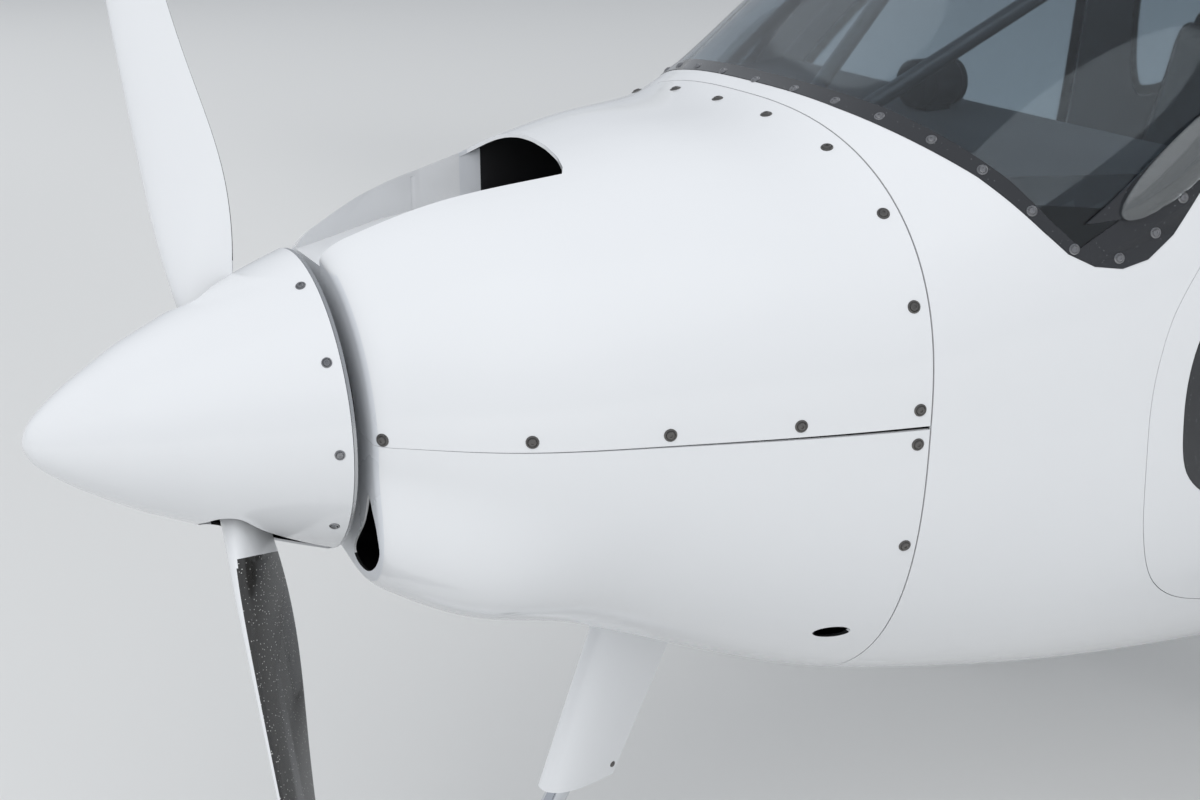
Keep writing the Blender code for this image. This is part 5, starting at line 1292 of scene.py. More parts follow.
def lug_outline(hinge: float, level: float, length: float, half: float) -> list[tuple[float, float]]:
    """Hinge lug in side view: a tapered plate with a round end on the hinge."""
    arc = [(hinge + 0.010 * math.cos(a), level + 0.010 * math.sin(a)) for a in around(-70, 70, 11)]
    return ([(hinge - length, level - half), (hinge - 0.034, level - half)] + arc
            + [(hinge - 0.034, level + half), (hinge - length, level + half)])


def slot_outline(hinge: float, level: float) -> tuple[tuple[float, float], ...]:
    """Room for a lug in the nose of a control surface."""
    return ((hinge - 0.06, level - 0.08), (hinge + 0.016, level - 0.08), (hinge + 0.016, level + 0.08),
            (hinge - 0.06, level + 0.08))


def flat_line(across: float, lead: float, height: float, along: np.ndarray,
              lift: np.ndarray) -> list[Point]:
    """Skin points of a lying section, from its leading edge and the height of its line."""
    return [(across, NOSE_Y + lead + a, AXIS_Z + height + t) for a, t in zip(along, lift)]


def nose_line(across: float, hinge: float, level: float, radius: float,
              angles: Sequence[float]) -> list[Point]:
    """Round nose of a lying control surface about its hinge."""
    return [(across, NOSE_Y + hinge - radius * math.cos(a), AXIS_Z + level + radius * math.sin(a))
            for a in angles]


def upright_line(height: float, stations: np.ndarray, across: np.ndarray) -> list[Point]:
    """Skin points of an upright section at one height."""
    return [(h, NOSE_Y + s, AXIS_Z + height) for s, h in zip(stations, across)]


class Wings(Assembly):
    """Cantilever wing panels with their slotted flaperons."""

    ROWS = ((0.300, 1.640, 2.570, 0.135), (2.000, 1.655, 2.5517, 0.135), (3.600, 1.720, 2.5345, 0.130),
            (4.950, 1.850, 2.520, 0.120), (5.200, 1.930, 2.505, 0.110), (5.310, 2.020, 2.485, 0.095),
            (5.355, 2.130, 2.450, 0.060))
    ROOT, SLOPE, CAMBER = 0.655, math.tan(math.radians(1.2)), 0.028
    INNER, OUTER, COVE = 0.600, 4.940, 0.040
    LUGS = (0.90, 2.10, 3.35, 4.60)
    TIE = (2.60, 2.05, 0.045)

    def row(self, across: float) -> tuple[float, float, float, float]:
        """Leading edge, trailing edge, thickness ratio and height."""
        lead, trail, ratio = (steady(self.ROWS, c, across) for c in (1, 2, 3))
        return lead, trail, ratio, self.ROOT + self.SLOPE * across

    @staticmethod
    def hinge(across: float) -> float:
        """Station of the flaperon's hinge."""
        return 2.57 - 0.165 + 0.028 - 0.01075 * (across - 0.3)

    def ring(self, across: float, side: Side) -> list[Point]:
        """Closed wing section."""
        lead, trail, ratio, height = self.row(across)
        chord = trail - lead
        u = (1 - np.cos(np.linspace(0, math.pi, 29))) / 2
        half, bow = airfoil(ratio, self.CAMBER, u)
        thick = np.maximum(half * chord, 0.0012)
        thick[0] = 0.0
        x, along, line = side.value * across, u * chord, bow * chord
        return (flat_line(x, lead, height, along[::-1], (line + thick)[::-1])
                + flat_line(x, lead, height, along[1:], (line - thick)[1:]))

    def panel(self, side: Side) -> None:
        """Wing panel with its cove, hinge lugs and tie-down lug."""
        span = np.concatenate([np.linspace(0.3, 4.95, 40), np.linspace(4.95, 5.2, 6)[1:],
                               5.355 - 0.155 * (1 - np.linspace(0, 1, 9)[1:]) ** 1.6])
        rings = np.array([self.ring(x, side) for x in span])
        piece = Maker.solid("wing_panel_" + side.label, Maker.loft(rings))
        Maker.cut(piece, body_plug(stations_between(1.4, 2.9, 0.03), 0.0003, 144))
        front = [(side.value * x, self.hinge(x) - self.COVE)
                 for x in (self.INNER - 0.006, 2.0, 3.6, self.OUTER + 0.006)]
        back = [(side.value * (self.OUTER + 0.006), 2.8), (side.value * (self.INNER - 0.006), 2.8)]
        Maker.cut(piece, Maker.prism(front + back, 0.2, 1.2, "plan"))
        x, station, drop = self.TIE
        lead, trail, ratio, height = self.row(x)
        half, bow = airfoil(ratio, self.CAMBER, (station - lead) / (trail - lead))
        below = height + float(bow - half) * (trail - lead)
        arc = [(station + 0.020 * math.cos(a), below - drop + 0.018 + 0.018 * math.sin(a))
               for a in around(180, 360, 17)]
        ring = [(station - 0.040, below + 0.003)] + arc + [(station + 0.040, below + 0.003)]
        Maker.cut(piece, Maker.prism(ring, side.value * x - 0.005, side.value * x + 0.005), "UNION")
        eye = place(station, below - 0.026, side.value * x)
        Maker.cut(piece, Maker.tube((eye - Vector((0.02, 0, 0)), eye + Vector((0.02, 0, 0))), 0.006, 20))
        for x in self.LUGS:
            hinge, level = self.hinge(x), self.level(x)
            Maker.cut(piece, Maker.prism(lug_outline(hinge, level, 0.085, 0.016),
                                         side.value * x - LUG_HALF, side.value * x + LUG_HALF), "UNION")
        self.put(piece, "gelcoat", "airframe", "white_gelcoat", "wing_" + side.label)
        self.flaperon(side)
        self.tip_lamp(side)

    def level(self, x: float) -> float:
        """Height of the hinge line."""
        lead, trail, ratio, height = self.row(x)
        return height + float(airfoil(ratio, self.CAMBER, (self.hinge(x) - lead) / (trail - lead))[1]) * (
            trail - lead)

    def flaperon(self, side: Side) -> None:
        """Flaperon with a round nose on its hinge, slotted for the lugs."""
        rings = []
        for x in np.linspace(self.INNER, self.OUTER, 38):
            lead, trail, ratio, height = self.row(x)
            chord, hinge = trail - lead, self.hinge(x)
            u0 = (hinge - lead) / chord
            u = u0 + (1 - u0) * np.linspace(1, 0, 9)
            half, bow = airfoil(ratio, self.CAMBER, u)
            thick = np.maximum(half * chord, 0.0012)
            centre, radius = height + bow[-1] * chord, half[-1] * chord
            across, along, line = side.value * x, u * chord, bow * chord
            rings.append(flat_line(across, lead, height, along, line + thick)
                         + nose_line(across, hinge, centre, radius, around(75, -75, 11))
                         + flat_line(across, lead, height, along[::-1], (line - thick)[::-1]))
        name = "flaperon_skin_" + side.label
        piece = Maker.solid(name, Maker.loft(np.array(rings)))
        for x in self.LUGS:
            Maker.cut(piece, Maker.prism(slot_outline(self.hinge(x), self.level(x)),
                                         side.value * x - SLOT_HALF, side.value * x + SLOT_HALF))
        self.put(piece, "gelcoat", "flaperon_" + side.label, "white_gelcoat", "flaperon_" + side.label)

    def tip_lamp(self, side: Side) -> None:
        """Navigation lamp in the wing tip's leading edge."""
        lead, trail, ratio, height = self.row(5.27)
        centre = place(lead + 0.020, height + 0.004, side.value * 5.27)
        out = Vector((side.value * 0.78, -0.62, 0.0)).normalized()
        base = Maker.lathe(((0.0, -0.030), (0.024, -0.030), (0.024, 0.006), (0.021, 0.010), (0.0, 0.010)),
                           centre, out, 32)
        holder = join("tip_lamp_base_" + side.label, [base])
        self.put(holder, "black", "airframe", "black_plastic")
        dome = Maker.lathe(((0.0, 0.0104), (0.0205, 0.0104), (0.0205, 0.014), (0.0185, 0.021),
                            (0.013, 0.028), (0.006, 0.0315), (0.0, 0.0322)), centre, out, 32)
        lens = join("tip_lamp_" + side.label, [dome])
        self.palette.dress(lens, "red_lens" if side is Side.LEFT else "green_lens")
        settle(lens, "airframe", "tinted_acrylic")

    def build(self) -> None:
        """Both panels."""
        for side in Side:
            self.panel(side)


class Tail(Assembly):
    """T-tail: fin, rudder, tailplane, elevator and ventral fin."""

    LINE = 0.925
    PLAN = ((0.0, 5.880, 6.500), (0.55, 5.930, 6.493), (1.00, 5.990, 6.480), (1.09, 6.060, 6.462))
    HINGE, RATIO = 6.318, 0.085
    LUGS, RUDDER_LUGS = (-0.80, -0.28, 0.28, 0.80), (0.36, 0.68)
    FIN = ((0.10, 5.360), (0.34, 5.520), (0.62, 5.660), (0.905, 5.800))
    FIN_REAR, FIN_FULL, RUDDER_HINGE = 6.145, 6.42, 6.178
    RUDDER = ((-0.105, 6.395), (0.20, 6.435), (0.50, 6.425), (0.800, 6.410))

    def _edges(self, across: float) -> tuple[float, float]:
        """Leading and trailing edge of the tailplane."""
        return steady(self.PLAN, 1, abs(across)), steady(self.PLAN, 2, abs(across))

    def tailplane(self) -> None:
        """Tailplane ahead of its cove, with hinge lugs."""
        span = np.concatenate([np.linspace(0, 1.0, 14), 1.09 - 0.09 * (1 - np.linspace(0, 1, 7)[1:]) ** 1.5])
        span = np.concatenate([-span[:0:-1], span])
        rear, rings = self.HINGE - 0.028, []
        for x in span:
            lead, trail = self._edges(x)
            chord = trail - lead
            u = (1 - np.cos(np.linspace(0, math.pi / 2, 20))) * (rear - lead) / chord
            half, _ = airfoil(self.RATIO, 0.0, u)
            fade = 1.0 if abs(x) < 1.0 else max(1 - ((abs(x) - 1.0) / 0.0925) ** 2.2, 0.05) ** 0.5
            along, lift = u * chord, half * chord * fade
            rings.append(flat_line(x, lead, self.LINE, along[::-1], lift[::-1])
                         + flat_line(x, lead, self.LINE, along[1:], -lift[1:]))
        piece = Maker.solid("tailplane_skin", Maker.loft(np.array(rings)))
        for x in self.LUGS:
            Maker.cut(piece, Maker.prism(lug_outline(self.HINGE, self.LINE, 0.06, 0.010),
                                         x - LUG_HALF, x + LUG_HALF), "UNION")
        self.put(piece, "gelcoat", "airframe", "white_gelcoat", "tailplane")

    def elevator(self) -> None:
        """Elevator with a round nose on its hinge."""
        rings = []
        for x in np.linspace(-1.05, 1.05, 33):
            lead, trail = self._edges(x)
            chord = trail - lead
            u0 = (self.HINGE - lead) / chord
            u = u0 + (1 - u0) * np.linspace(1, 0.06, 8)
            half = np.maximum(airfoil(self.RATIO, 0.0, u)[0] * chord, 0.0012)
            radius = float(airfoil(self.RATIO, 0.0, u0)[0]) * chord
            rings.append(flat_line(x, lead, self.LINE, u * chord, half)
                         + nose_line(x, self.HINGE, self.LINE, radius, around(90, -90, 13))
                         + flat_line(x, lead, self.LINE, (u * chord)[::-1], -half[::-1]))
        piece = Maker.solid("elevator_skin", Maker.loft(np.array(rings)))
        for x in self.LUGS:
            Maker.cut(piece, Maker.prism(slot_outline(self.HINGE, self.LINE), x - SLOT_HALF, x + SLOT_HALF))
        self.put(piece, "gelcoat", "elevator", "white_gelcoat", "elevator")

    def _fin_half(self, height: float, station: np.ndarray) -> np.ndarray:
        """Half thickness of fin and rudder."""
        lead = steady(self.FIN, 1, height)
        chord = self.FIN_FULL - lead
        u = np.clip((np.asarray(station, float) - lead) / chord, 0.0, 1.0)
        return airfoil(0.085 - 0.02 * max(height, 0.0), 0.0, u)[0] * chord

    def fin(self) -> None:
        """Fin rooted in the tail boom, with its lugs and a saddle under the tailplane."""
        rings = []
        for z in np.linspace(0.10, 0.915, 24):
            lead = steady(self.FIN, 1, z)
            stations = lead + (1 - np.cos(np.linspace(0, math.pi / 2, 20))) * (self.FIN_REAR - lead)
            half = self._fin_half(z, stations)
            rings.append(upright_line(z, stations[::-1], half[::-1])
                         + upright_line(z, stations[1:], -half[1:]))
        piece = Maker.solid("fin_skin", Maker.loft(np.array(rings)))
        Maker.cut(piece, body_plug(stations_between(5.1, 6.14, 0.05), 0.0004, 96))
        for z in self.RUDDER_LUGS:
            ring = [(a, s) for s, a in lug_outline(self.RUDDER_HINGE, 0.0, 0.070, 0.010)]
            Maker.cut(piece, Maker.prism(ring, z - LUG_HALF, z + LUG_HALF, "plan"), "UNION")
        self.put(piece, "gelcoat", "airframe", "white_gelcoat", "fin")

    def rudder(self) -> None:
        """Rudder with a round nose on its hinge."""
        rings = []
        for z in np.linspace(-0.105, 0.80, 26):
            trail = steady(self.RUDDER, 1, z)
            radius = 0.9 * float(self._fin_half(max(z, 0.1), self.RUDDER_HINGE))
            t = np.linspace(1, 0.06, 9)
            half = np.maximum(radius * (1 - t) * (1 + 0.35 * t), 0.0012)
            stations = self.RUDDER_HINGE + t * (trail - self.RUDDER_HINGE)
            nose = [(radius * math.sin(a), NOSE_Y + self.RUDDER_HINGE - radius * math.cos(a), AXIS_Z + z)
                    for a in around(90, -90, 13)]
            rings.append(upright_line(z, stations, half) + nose
                         + upright_line(z, stations[::-1], -half[::-1]))
        piece = Maker.solid("rudder_skin", Maker.loft(np.array(rings)))
        for z in self.RUDDER_LUGS:
            ring = [(a, s) for s, a in slot_outline(self.RUDDER_HINGE, 0.0)]
            Maker.cut(piece, Maker.prism(ring, z - SLOT_HALF, z + SLOT_HALF, "plan"))
        self.put(piece, "gelcoat", "rudder", "white_gelcoat", "rudder")

    def ventral(self) -> None:
        """Ventral fin with rounded edges."""
        outline = Maker.outline(((5.42, -0.10), (5.70, -0.085), (5.98, -0.08), (6.015, -0.18),
                                 (6.012, -0.292), (5.955, -0.318), (5.81, -0.318), (5.70, -0.272),
                                 (5.60, -0.210)), 6)
        rings = []
        for across, cut in ((-0.012, 0.006), (-0.010, 0.0025), (-0.006, 0.0005), (0.006, 0.0005),
                            (0.010, 0.0025), (0.012, 0.006)):
            rings.append([tuple(place(s, z, across)) for s, z in Maker.inset(outline, cut)])
        piece = Maker.solid("ventral_skin", Maker.loft(np.array(rings)))
        Maker.cut(piece, body_plug(stations_between(5.1, 6.14, 0.05), 0.0004, 96))
        self.put(piece, "gelcoat", "airframe", "white_gelcoat", "ventral_fin")

    def build(self) -> None:
        """The whole tail."""
        self.tailplane()
        self.elevator()
        self.fin()
        self.rudder()
        self.ventral()


@dataclass(frozen=True)
class WheelSize:
    """Tyre radius and width, and the pant around it."""

    radius: float
    width: float
    length: float
    breadth: float
    height: float


class Gear(Assembly):
    """Steered nose gear and main gear with streamlined wheel pants."""

    NOSE = WheelSize(0.145, 0.090, 0.64, 0.205, 0.300)
    MAIN = WheelSize(0.165, 0.110, 0.72, 0.215, 0.335)
    NOSE_AXLE, MAIN_AXLE, TRACK = 0.505, 2.060, 1.60
    RAKE = math.radians(28.0)
    PANT = ((-0.42, 0.02, 0.02), (-0.412, 0.16, 0.17), (-0.40, 0.30, 0.32), (-0.33, 0.66, 0.68),
            (-0.20, 0.93, 0.93), (-0.02, 1.0, 1.0), (0.16, 0.88, 0.90), (0.34, 0.58, 0.62),
            (0.50, 0.24, 0.30), (0.58, 0.03, 0.06))
    LEG = ((0.000, 0.365, 0.140, 0.030), (0.357, 0.320, 0.128, 0.028), (0.675, 0.225, 0.112, 0.025),
           (0.873, 0.120, 0.100, 0.022), (1.000, -0.030, 0.078, 0.018))

    def __init__(self, palette: Palette) -> None:
        """Keep the finishes and the strut's line."""
        super().__init__(palette)
        self.axis = Vector((0.0, -math.sin(self.RAKE), -math.cos(self.RAKE)))
        self.foot = place(self.NOSE_AXLE + 0.133, -0.650)

    def wheel(self, name: str, body: str, tyre: str, rim: str, centre: Vector, size: WheelSize) -> None:
        """Grooved tyre and turned rim with bolts."""
        r, half = size.radius, size.width / 2
        bead = r * 0.55
        side = [(bead, 0.72), (bead + 0.006, 0.80), (bead + 0.012, 0.86), (r * 0.64, 0.93), (r * 0.70, 0.975),
                (r * 0.705, 0.99), (r * 0.72, 0.99), (r * 0.725, 0.98), (r * 0.78, 1.0), (r * 0.85, 0.96),
                (r * 0.92, 0.84), (r * 0.965, 0.68), (r * 0.988, 0.52)]
        tread = []
        for groove in (0.44, 0.16):
            tread += [(r * (1 - 0.02 * groove ** 2), groove + 0.035), (r - 0.0045, groove + 0.030),
                      (r - 0.0045, groove - 0.030), (r * (1 - 0.02 * groove ** 2), groove - 0.035)]
        right = side + tread
        profile = [(a, b * half) for a, b in right] + [(a, -b * half) for a, b in right[::-1]]
        piece = join(name + "_tyre_rubber", [Maker.lathe(profile, centre, Vector((1, 0, 0)), 112)], 28.0)
        self.put(piece, "rubber", body, "tyre_rubber", tyre)
        edge = bead - 0.0003
        disc = ((0.0103, -half * 0.60), (0.026, -half * 0.60), (0.030, -half * 0.54), (0.032, -half * 0.34),
                (0.036, -half * 0.30), (edge - 0.018, -half * 0.30), (edge - 0.013, -half * 0.36),
                (edge - 0.010, -half * 0.66), (edge - 0.005, -half * 0.72), (edge, -half * 0.72))
        whole = list(disc) + [(a, -b) for a, b in disc[::-1]]
        parts = [Maker.lathe(whole, centre, Vector((1, 0, 0)), 96)]
        holder = join(name + "_wheel_rim", parts)
        for a in np.linspace(0, 2 * math.pi, 6, endpoint=False):
            spot = centre + Vector((0, math.cos(a), math.sin(a))) * (edge + 0.012) * 0.62
            Maker.cut(holder, Maker.tube((spot - Vector((0.06, 0, 0)), spot + Vector((0.06, 0, 0))),
                                         0.0085, 24))
        self.put(holder, "aluminium", body, "aluminium", rim)
        bolts = []
        for a in np.linspace(0, 2 * math.pi, 6, endpoint=False) + 0.5:
            for end in (-1, 1):
                spot = centre + Vector((end * half * 0.30, math.cos(a) * edge * 0.66,
                                        math.sin(a) * edge * 0.66))
                bolts.append(Maker.lathe(((0.0, 0.0), (0.005, 0.0), (0.005, 0.0035), (0.0042, 0.0045),
                                          (0.0, 0.0045)), spot, Vector((end, 0, 0)), 6))
        made = join(name + "_rim_bolts", bolts)
        self.put(made, "screw", body, "aluminium")

    def pant(self, name: str, axle: Vector, size: WheelSize) -> bpy.types.Object:
        """Hollow teardrop pant, open below."""
        table = np.array(self.PANT)
        nose = -0.42 + 0.10 * np.linspace(0, 1, 14) ** 2
        along = np.concatenate([nose, np.linspace(-0.32, 0.58, 44)[1:]])
        angles = np.linspace(0, 2 * math.pi, 72, endpoint=False)
        middle = axle.z + 0.012

        def rings(shrink: float, rows: np.ndarray) -> np.ndarray:
            """Sections along the pant."""
            wide = np.array([steady(table.tolist(), 1, a) for a in rows])
            tall = np.array([steady(table.tolist(), 2, a) for a in rows])
            made = np.empty((len(rows), len(angles), 3))
            sine, cosine = np.sin(angles), np.cos(angles)
            made[..., 0] = axle.x + np.maximum(size.breadth / 2 * wide - shrink, 0.0008)[:, None] * (
                np.sign(sine) * np.abs(sine) ** 0.85)[None, :]
            made[..., 1] = (axle.y + rows * size.length)[:, None]
            made[..., 2] = middle + np.maximum(size.height / 2 * tall - shrink, 0.0008)[:, None] * (
                np.sign(cosine) * np.abs(cosine) ** 0.85)[None, :]
            return made
        piece = Maker.solid(name, Maker.loft(rings(0.0, along)))
        Maker.cut(piece, Maker.loft(rings(0.0035, np.linspace(-0.405, 0.53, 40))))
        work = size.radius + 0.022
        mouth = []
        for a in np.linspace(0, 2 * math.pi, 64, endpoint=False):
            c, s = math.cos(a), math.sin(a)
            mouth.append((axle.x + 0.072 * math.copysign(abs(c) ** 0.25, c),
                          axle.y - NOSE_Y + work * math.copysign(abs(s) ** 0.25, s)))
        Maker.cut(piece, Maker.prism(mouth, -AXIS_Z - 0.01, 0.11 - AXIS_Z, "plan"))
        return piece

    def strut_parts(self) -> tuple[list, list]:
        """Paths and radii of the fork's tubes."""
        centre = Vector((0.0, NOSE_Y + self.NOSE_AXLE, self.NOSE.radius))
        crown = self.foot + self.axis * 0.0753
        paths = [((crown, crown + self.axis * 0.030), 0.024)]
        for sign in (1, -1):
            low = centre + Vector((sign * 0.060, 0, 0))
            bend = centre + Vector((sign * 0.060, 0.034, 0.110))
            high = crown + Vector((sign * 0.030, 0, -0.026))
            paths.append(((low, bend, high, crown + Vector((0, 0, -0.022))), 0.009))
        return paths, [centre, crown]

    def nose(self) -> None:
        """Nose wheel, fork, strut, pant and the leg's fairing."""
        paths, (centre, crown) = self.strut_parts()
        self.wheel("nose", "nose_wheel", "nose_tyre", "nose_rim", centre, self.NOSE)
        cover = self.pant("nose_wheel_pant", centre, self.NOSE)
        for i, (path, radius) in enumerate(paths):
            path = [path[0] - self.axis * 0.02] + list(path[1:]) if i == 0 else path
            Maker.cut(cover, Maker.tube(path, radius + 0.0003, 24))
        Maker.cut(cover, Maker.tube((centre - Vector((0.0743, 0, 0)), centre + Vector((0.0743, 0, 0))),
                                    0.0103, 24))
        self.put(cover, "gelcoat", "nose_steering", "white_gelcoat", "nose_pant")
        tubes = [Maker.tube((centre - Vector((0.074, 0, 0)), centre + Vector((0.074, 0, 0))), 0.010, 24)]
        tubes += [Maker.tube(path, radius, 24) for path, radius in paths]
        fork = join("nose_fork_tubes", tubes)
        self.put(fork, "steel", "nose_steering", "painted_steel", "nose_fork")
        strut = join("nose_strut_tube", [
            Maker.lathe(((0.0, 0.0), (0.0150, 0.0), (0.016, 0.001), (0.016, 0.154), (0.0150, 0.155),
                         (0.0, 0.155)), self.foot - self.axis * 0.08, self.axis, 48)])
        self.put(strut, "chrome", "nose_steering", "chrome", "nose_strut")
        self.fairing()

    def fairing(self) -> None:
        """Streamlined leg between cowling and strut, with its screws and collar."""
        root, tip = (self.NOSE_AXLE + 0.274, -0.340), (self.NOSE_AXLE + 0.168, -0.632)
        shape = ((-0.5, 0.0), (-0.49, 0.16), (-0.46, 0.30), (-0.39, 0.42), (-0.30, 0.5), (-0.18, 0.50),
                 (-0.05, 0.46), (0.10, 0.36), (0.25, 0.24), (0.40, 0.10), (0.5, 0.02))
        ring_uv = list(shape) + [(u, -v) for u, v in shape[:0:-1]]
        rings = []
        for t in np.linspace(0, 1, 16):
            station, height = (root[k] + (tip[k] - root[k]) * t for k in (0, 1))
            chord, thick = 0.146 - 0.031 * t, 0.046 - 0.002 * t
            station += 0.014 * (1 - t)
            rings.append([tuple(place(station + u * chord, height - 0.10 * u * chord, v * thick))
                          for u, v in ring_uv])
        piece = Maker.solid("nose_leg_cover", Maker.loft(np.array(rings)), 40.0)
        Maker.cut(piece, Maker.tube((self.foot - self.axis * 0.09, self.foot + self.axis * 0.1),
                                    0.0165, 48))
        self.put(piece, "gelcoat", "airframe", "white_gelcoat", "nose_leg_fairing")
        flange = skin_sheet("leg_root_flange", stations_between(0.62, 0.88, 0.01), around(150, 210, 61),
                            0.002, 0.0023)
        plan = ((0.0, 0.640), (0.030, 0.715), (0.037, 0.790), (0.033, 0.862), (-0.033, 0.862),
                (-0.037, 0.790), (-0.030, 0.715))
        Maker.cut(flange, Maker.prism(plan, -0.5, 0.0, "plan"), "INTERSECT")
        self.put(flange, "gelcoat", "airframe", "white_gelcoat")
        screws = ScrewSet("leg_screws", 0.62)
        for t in (0.20, 0.94):
            station, height = (root[k] + (tip[k] - root[k]) * t for k in (0, 1))
            station += 0.014 * (1 - t)
            chord, thick = 0.146 - 0.031 * t, 0.046 - 0.002 * t
            for sign in (1, -1):
                spot = place(station + 0.41 * chord, height - 0.041 * chord, sign * thick * 0.094)
                screws.add(spot, Vector((sign, 0.28, 0)).normalized())
        made = screws.build()
        self.put(made, "screw_dark", "airframe", "aluminium")

    def main(self, side: Side) -> None:
        """Main wheel, pant, axle and composite leg."""
        centre = Vector((side.value * self.TRACK / 2, NOSE_Y + self.MAIN_AXLE, self.MAIN.radius))
        name = "main_" + side.label
        self.wheel(name, "main_wheel_" + side.label, name + "_tyre", name + "_rim", centre, self.MAIN)
        inward = Vector((side.value, 0, 0))
        cover = self.pant("main_wheel_pant_" + side.label, centre, self.MAIN)
        Maker.cut(cover, Maker.tube((centre - inward * 0.20, centre), 0.0103, 24))
        self.put(cover, "gelcoat", "airframe", "white_gelcoat", "main_pant_" + side.label)
        axle = join(name + "_axle_pin", [
            Maker.lathe(((0.0, 0.0), (0.0090, 0.0), (0.010, 0.001), (0.010, 0.236), (0.0090, 0.237),
                         (0.0, 0.237)), centre - inward * 0.152, inward, 40)])
        self.put(axle, "chrome", "airframe", "chrome", "main_axle_" + side.label)
        table = [list(row) for row in self.LEG]
        reach = self.TRACK / 2 - 0.136 - 0.160
        xs = np.array([row[0] for row in table])
        shares = np.linspace(0, 1, 34)
        columns = [natural_spline(xs, np.array([row[c] for row in table]), shares) for c in (1, 2, 3)]
        path = np.stack([0.160 + shares * reach, self.MAIN.radius - AXIS_Z + columns[0]], 1)
        rings = []
        for i, share in enumerate(shares):
            before, after = path[max(i - 1, 0)], path[min(i + 1, len(path) - 1)]
            run = Vector((after[0] - before[0], after[1] - before[1])).normalized()
            normal = Vector((-run.y, run.x))
            ring = []
            for a in np.linspace(0, 2 * math.pi, 28, endpoint=False):
                u = -0.5 * math.cos(a)
                v = 0.5 * math.sin(a) * (1.06 if u < 0 else max(1 - u, 0.55))
                shift = normal * (v * columns[2][i])
                ring.append(tuple(place(self.MAIN_AXLE - 0.02 + u * columns[1][i], path[i][1] + shift.y,
                                        side.value * (path[i][0] + shift.x))))
            rings.append(ring)
        leg = Maker.link(name + "_spring_leg", Maker.mesh(name + "_spring_leg", Maker.loft(np.array(rings))))
        Maker.cut(leg, body_plug(stations_between(1.7, 2.4, 0.03), 0.0003, 144))
        Maker.cut(leg, Maker.tube((centre - inward * 0.20, centre), 0.0103, 24))
        self.put(leg, "gelcoat", "airframe", "white_gelcoat", "main_leg_" + side.label)

    def build(self) -> None:
        """All gear."""
        self.nose()
        for side in Side:
            self.main(side)


class Seats(Assembly):
    """Two seats: a moulded shell, stuffed base and back cushions and their piping."""

    SHELL = ((1.505, -0.3995), (1.503, -0.345), (1.515, -0.330), (1.900, -0.348), (1.955, -0.335),
             (1.992, -0.285), (2.178, 0.275), (2.190, 0.300), (2.212, 0.304), (2.230, 0.285),
             (2.150, -0.050), (2.078, -0.3995))
    BASE = ((1.516, -0.318), (1.512, -0.250), (1.530, -0.228), (1.600, -0.224), (1.760, -0.240),
            (1.890, -0.258), (1.925, -0.285), (1.905, -0.334), (1.700, -0.324))
    BACK = ((1.975, -0.262), (1.946, -0.232), (1.952, -0.180), (2.030, 0.020), (2.118, 0.258),
            (2.140, 0.292), (2.168, 0.288), (2.172, 0.262), (2.075, -0.030), (1.998, -0.258))

    @staticmethod
    def puff(piece: bpy.types.Object, cap: float) -> None:
        """Stuff a cushion: even grain, inflated cloth with capped movement, one subdivision."""
        grain = piece.modifiers.new("grain", "REMESH")
        grain.mode, grain.voxel_size = "VOXEL", 0.007
        Maker.apply(piece)
        mesh = piece.data
        start = np.array([tuple(v.co) for v in mesh.vertices])
        cloth = piece.modifiers.new("puff", "CLOTH")
        settings = cloth.settings
        settings.quality = 4
        settings.use_pressure = True
        settings.uniform_pressure_force = 4.0
        settings.effector_weights.gravity = 0.0
        cloth.point_cache.frame_start, cloth.point_cache.frame_end = 1, 20
        for frame in range(1, 21):
            bpy.context.scene.frame_set(frame)
        shaped = piece.evaluated_get(bpy.context.evaluated_depsgraph_get()).to_mesh()
        ended = np.array([tuple(v.co) for v in shaped.vertices])
        piece.to_mesh_clear()
        piece.modifiers.clear()
        bpy.context.scene.frame_set(1)
        move = ended - start
        length = np.maximum(np.linalg.norm(move, axis=1), 1e-9)
        kept = start + move * (np.minimum(length, cap) / length)[:, None]
        mesh.vertices.foreach_set("co", kept.ravel())
        mesh.update()
        finer = piece.modifiers.new("finer", "SUBSURF")
        finer.levels = finer.render_levels = 1
        Maker.apply(piece, 60.0)

    def cushion(self, name: str, outline: Outline, side: Side, cap: float) -> bpy.types.Object:
        """One stuffed cushion with piping along both of its side seams."""
        low, high = sorted((side.value * 0.048, side.value * 0.422))
        ring = Maker.outline(outline, 4)
        piece = Maker.solid(name, Maker.prism(ring, low, high))
        self.puff(piece, cap)
        self.palette.dress(piece, "fabric")
        parts = []
        for across in (low + 0.012, high - 0.012):
            path = []
            for station, height in ring + ring[:2]:
                hit, spot, _, _ = piece.closest_point_on_mesh(place(station, height, across))
                path.append(spot if hit else place(station, height, across))
            parts.append(Maker.tube(path, 0.0032, 10, 1))
        piping = join(name + "_piping", parts)
        self.put(piping, "leather", "airframe", "seat_fabric")
        return piece

    def build(self) -> None:
        """Both seats."""
        for side in Side:
            node = "seat_" + side.label
            low, high = sorted((side.value * 0.034, side.value * 0.436))
            shell = Maker.solid("seat_shell_" + side.label, Maker.prism(self.SHELL, low, high))
            edge = shell.modifiers.new("edge", "BEVEL")
            edge.width, edge.segments, edge.limit_method = 0.006, 3, "ANGLE"
            Maker.apply(shell)
            Maker.cut(shell, body_plug(stations_between(1.40, 2.35, 0.03), -0.007, 144), "INTERSECT")
            self.put(shell, "leather", "airframe", "seat_fabric", node)
            for part, outline, cap in (("base", self.BASE, 0.016), ("back", self.BACK, 0.016)):
                piece = self.cushion("seat_" + part + "_cushion_" + side.label, outline, side, cap)
                settle(piece, "airframe", "seat_fabric", node)


